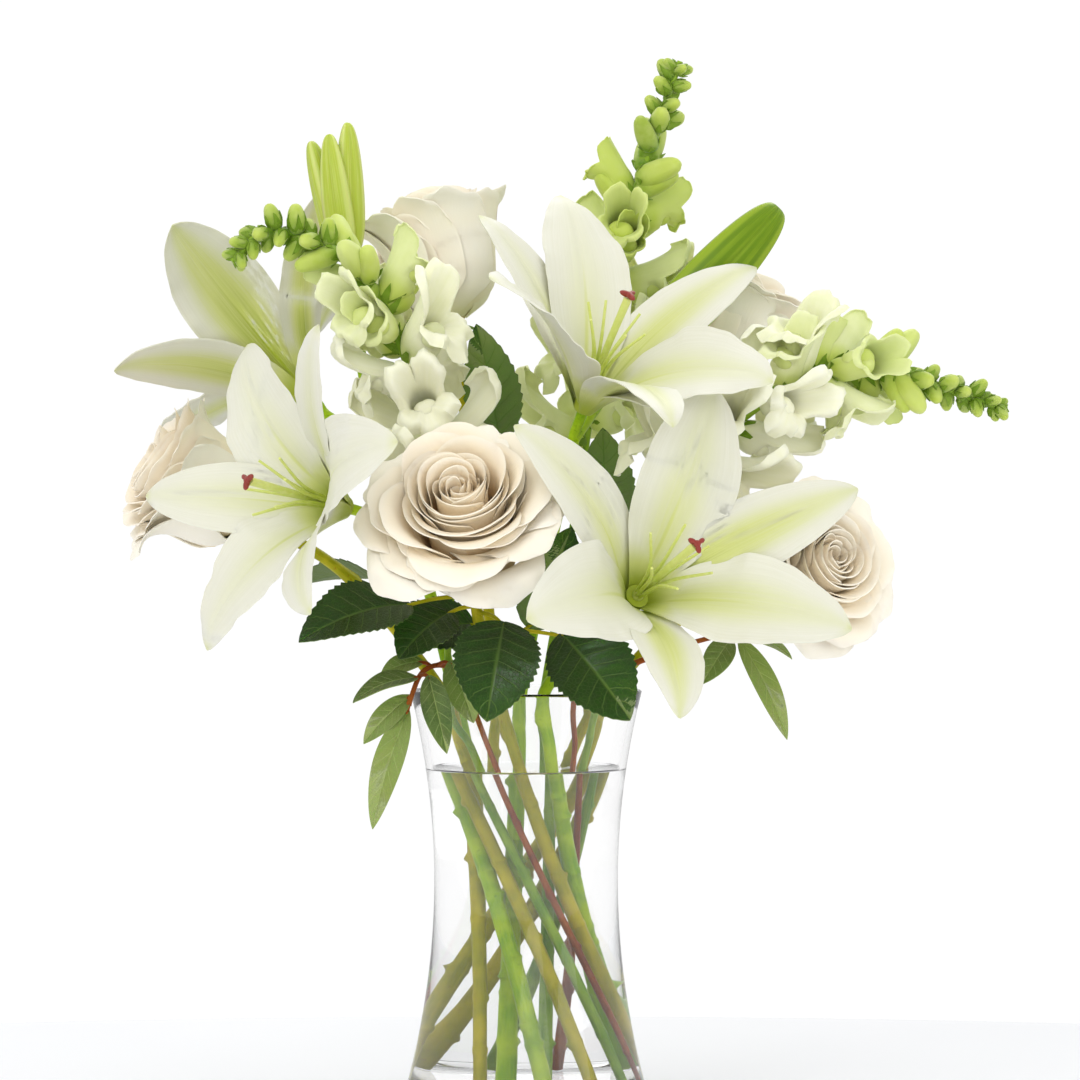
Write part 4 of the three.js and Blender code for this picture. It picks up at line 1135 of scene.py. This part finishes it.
def lily_bud():
    """Lily bud, grown: smooth waxy green with paler ribs and a fine grain along it."""
    skin = Skin("lily_bud_waxy_green")
    step, blend = skin.step, skin.blend
    place, age = skin.place(), skin.kept("age")
    across, _, along, _ = place
    fine = skin.streaks(place, 30.0, 2.5)
    ring = skin.sum_of("COSINE", skin.times(across, 3 * pi))
    green = blend(step(age, 0.2, 0.9), "#bccb45", "#668800")
    pale = blend(step(age, 0.2, 0.9), "#dde48e", "#9cb51e")
    ribbed = blend(step(ring, 0.5, 0.98, 0.0, 0.75), green, pale)
    grained = blend(step(fine, 0.4, 0.75, 0.0, 0.45), ribbed, pale)
    colour = blend(step(along, 0.22, 0.0, 0.0, 0.6), grained, "#93a83a")
    return skin.finish(colour, 0.38, 1.42, (fine, 0.25, 0.3), 0.5, (0.25, 0.003, (0.6, 1.0, 0.2)))


def pistil_green():
    """Pistil and threads, grown: smooth juicy yellow-green, paler towards the ends."""
    skin = Skin("lily_pistil_smooth_green")
    soft = skin.mottle(3)
    base = skin.blend(skin.step(skin.place()[2], 0.0, 1.0), "#b2c04a", "#d3da80")
    colour = skin.blend(skin.step(soft, 0.4, 0.7, 0.0, 0.3), base, "#e1e6a6")
    return skin.finish(colour, 0.35, 1.4, (soft, 0.1, 0.2), 0.5, (0.35, 0.002, (0.8, 1.0, 0.3)))


def stigma_red():
    """Stigma, grown: three lobes of dark red velvet, sticky and slightly wet on top."""
    skin = Skin("lily_stigma_sticky_red")
    soft = skin.mottle(0.9)
    wet = {"Coat Weight": 0.3, "Coat Roughness": 0.2}
    return skin.finish(skin.blend(soft, "#7a2018", "#a8443a"), 0.4, 1.4, (soft, 0.15, 0.6), **wet)


def stem_skin(name, green, other, dark, rough):
    """Cut stem, grown: a smooth skin with long pale fibres, small pores and darker patches."""
    skin = Skin(name)
    step, blend = skin.step, skin.blend
    fibre = skin.streaks(skin.place(), 9.0, 9.0)
    pore = skin.mottle(1.1, 2.0)
    base = blend(step(skin.mottle(16), 0.35, 0.68), green, other)
    lined = blend(step(fibre, 0.35, 0.8, 0.0, 0.6), base, other)
    colour = blend(step(pore, 0.6, 0.75, 0.0, 0.55), lined, dark)
    height = skin.sum_of("ADD", fibre, skin.times(pore, 0.4))
    return skin.finish(colour, rough, 1.38, (height, 0.3, 0.4), 0.25)


def leaf_skin(name, young, old, vein, under, rough, count):
    """Leaf, grown: a smooth green upper side with paler sunk veins and a matte grey-green underside."""
    skin = Skin(name)
    step, times, blend, larger = skin.step, skin.times, skin.blend, skin.larger
    age, upper = skin.kept("age"), skin.kept("upper")
    _, off_rib, along, _ = skin.place()
    swept = skin.sum_of("SUBTRACT", times(along, count), times(off_rib, 0.18 * count))
    from_vein = skin.sum_of("ABSOLUTE", skin.sum_of("SUBTRACT", skin.sum_of("FRACT", swept), 0.5))
    side_vein = times(step(from_vein, 0.07, 0.0), step(off_rib, 1.0, 0.5, 0.2, 1.0))
    ribs = larger(step(off_rib, 0.07, 0.01), side_vein)
    cells = {"Vector": skin.spot(), "Scale": 1 / (1.8 * MM)}
    net = skin.add("ShaderNodeTexVoronoi", cells, feature="DISTANCE_TO_EDGE").outputs[0]
    small_vein = step(net, 0.08, 0.0, 0.0, 0.5)
    blade = blend(age, young, old)
    blade = blend(step(skin.mottle(11), 0.35, 0.75, 0.0, 0.35), blade, young)
    netted = blend(times(small_vein, 0.25), blade, vein)
    veined = blend(times(ribs, 0.6), netted, vein)
    colour = blend(upper, blend(ribs, under, vein), veined)
    height = skin.sum_of("SUBTRACT", 1.0, larger(ribs, small_vein))
    gloss = step(upper, 0.0, 1.0, rough + 0.25, rough)
    return skin.finish(colour, gloss, 1.42, (height, 0.35, 0.5), 0.5, (0.12, 0.0015, (0.4, 1.0, 0.15)))


def clear(name, ior, ripple_mm, depth_mm, strength):
    """A clear material with slow ripples in its face."""
    skin = Skin(name)
    relief = (skin.mottle(ripple_mm, 1.0), depth_mm, strength)
    return skin.finish("#ffffff", 0.0, ior, relief, **{"Transmission Weight": 1.0})


MATERIALS = {
    "lily": lily_tepal(),
    "rose": rose_petal_cream(),
    "snapdragon": snapdragon_petal(),
    "bud": lily_bud(),
    "style": pistil_green(),
    "stigma": stigma_red(),
    "lily_stem": stem_skin("lily_stem_smooth_green", "#7cae00", "#b8d42a", "#4f7a00", 0.35),
    "rose_stem": stem_skin("rose_stem_olive_bark", "#96980a", "#c4b820", "#8a4a08", 0.4),
    "snapdragon_stem": stem_skin("snapdragon_stem_pale_green", "#5f8f0e", "#9aba3c", "#44680c", 0.4),
    "sprig_stem": stem_skin("sprig_stem_red_brown", "#80380c", "#ab5f22", "#421a04", 0.42),
    "calyx": stem_skin("calyx_downy_green", "#5f8214", "#88a63a", "#44600e", 0.55),
    "rose_leaf": leaf_skin("rose_leaf_glossy_dark_green", "#365016", "#22390d", "#587030", "#66793f", 0.3, 8),
    "sprig_leaf": leaf_skin("sprig_leaf_dull_green", "#84944a", "#3c5224", "#a9b674", "#93a35f", 0.45, 7),
    # pressed soda-lime glass, fire-polished
    "glass": clear("vase_glass_pressed_clear", 1.5, 45, 0.25, 0.12),
    # tap water with a trace of sap
    "water": clear("vase_water_clear", 1.333, 30, 0.1, 0.05),
}

# ---- the bunch
make_vase()
make_water()
for number, rose in enumerate(ROSES):
    make_rose(number, rose)
    make_rose_stem(number, rose)
for number, lily in enumerate(LILIES):
    make_lily(number, lily)
for number, stalk in enumerate(LILY_STEMS):
    make_lily_stem(number, stalk)
make_buds()
for number, spike in enumerate(SNAPDRAGONS):
    make_snapdragon(number, spike)
for number, sprig in enumerate(SPRIGS):
    make_sprig(number, sprig)


# ---- studio, in metres
TABLE_TOP = -0.0004  # a film of air under the glass, as where any vase stands, so that its foot shines
BACKDROP = 1.02  # strength of the white studio, as it is seen
BACKDROP_INSIDE = 2.3  # as it lights a flower through the glass
MIRRORED = (0.12, 0.6)  # as it mirrors in the bunch, before and behind it
LEAST_LIGHT = 0.66  # as it lights the flowers
OVERHEAD = 0.3  # more of it from above
# (name, place, what it points at, size, watts, whether it mirrors in the glass)
LIGHTS = [
    ("key_softbox", (-1.1, -1.5, 1.5), (0, 0, 0.28), 1.1, 10, True),
    ("front_softbox", (0.35, -2.3, 0.75), (0, 0, 0.28), 1.5, 5.5, False),
    ("fill_softbox", (1.6, -1.2, 0.7), (0, 0, 0.25), 1.3, 4.5, False),
    ("top_softbox", (0.2, 0.9, 1.5), (0, 0, 0.3), 1.0, 5.5, True),
]
SENSOR_WIDTH = 36  # millimetres, like the lens
LENS = 112.5
CAMERA_PLACE = (0.0062, -1.5, 0.2564)
TABLE_RADIUS = 1.6
TABLE_EDGE = 0.32  # how far its far edge lies behind the vase's middle


def make_table():
    """A round table top, painted a matt pale grey."""
    bm = bmesh.new()
    bmesh.ops.create_circle(bm, cap_ends=True, segments=128, radius=TABLE_RADIUS)
    bmesh.ops.translate(bm, vec=(0, TABLE_EDGE - TABLE_RADIUS, TABLE_TOP), verts=bm.verts[:])
    mesh = bpy.data.meshes.new("table_top")
    bm.to_mesh(mesh)
    bm.free()
    skin = Skin("table_top_matt_white")
    colour = skin.blend(skin.mottle(260, 2.0), "#eeeff2", "#f3f4f6")
    mesh.materials.append(skin.finish(colour, 0.55, 1.5))
    table = bpy.data.objects.new("table_top", mesh)
    bpy.context.scene.collection.objects.link(table)


def make_light(name, place, aim, size, watts, glints):
    """A round softbox."""
    lamp = bpy.data.lights.new(name, "AREA")
    lamp.shape = "DISK"
    lamp.size = size
    lamp.energy = watts
    holder = bpy.data.objects.new(name, lamp)
    holder.location = place
    holder.rotation_mode = "QUATERNION"
    holder.rotation_quaternion = (Vector(aim) - Vector(place)).to_track_quat("-Z", "Y")
    holder.visible_glossy = glints
    bpy.context.scene.collection.objects.link(holder)


def make_surroundings():
    """A white studio, brightest behind and above: the backdrop is bright to look at, and its bounced light on
    the flowers is softer."""
    world = bpy.data.worlds.new("white_studio")
    bpy.context.scene.world = world
    nodes = Nodes(world)
    path = nodes.add("ShaderNodeLightPath").outputs
    seen = nodes.larger(path["Is Camera Ray"], path["Is Transmission Ray"])
    way = nodes.add("ShaderNodeTexCoord").outputs["Generated"]
    _, depth, height = nodes.add("ShaderNodeSeparateXYZ", {"Vector": way}).outputs
    mirrored = nodes.step(depth, -0.7, 0.5, *MIRRORED)
    lit = nodes.larger(mirrored, nodes.times(path["Is Diffuse Ray"], LEAST_LIGHT))
    bounced = nodes.sum_of("ADD", lit, nodes.step(height, -0.6, 0.9, 0.0, OVERHEAD))
    direct = nodes.step(path["Diffuse Depth"], 0.5, 1.0, BACKDROP, BACKDROP_INSIDE)
    strength = nodes.add("ShaderNodeMix", {0: seen, 2: bounced, 3: direct}, data_type="FLOAT")
    light = nodes.add("ShaderNodeBackground", {"Color": (1, 1, 1, 1), "Strength": strength})
    nodes.add("ShaderNodeOutputWorld", {"Surface": light})


make_table()
make_surroundings()
for light in LIGHTS:
    make_light(*light)

camera_data = bpy.data.cameras.new("photo_camera")
camera_data.sensor_width = SENSOR_WIDTH
camera_data.lens = LENS
camera_data.clip_start = 0.05
camera = bpy.data.objects.new("photo_camera", camera_data)
camera.location = CAMERA_PLACE
camera.rotation_euler = (pi / 2, 0, 0)
bpy.context.scene.collection.objects.link(camera)
bpy.context.scene.camera = camera
bpy.context.scene.view_settings.view_transform = "Standard"
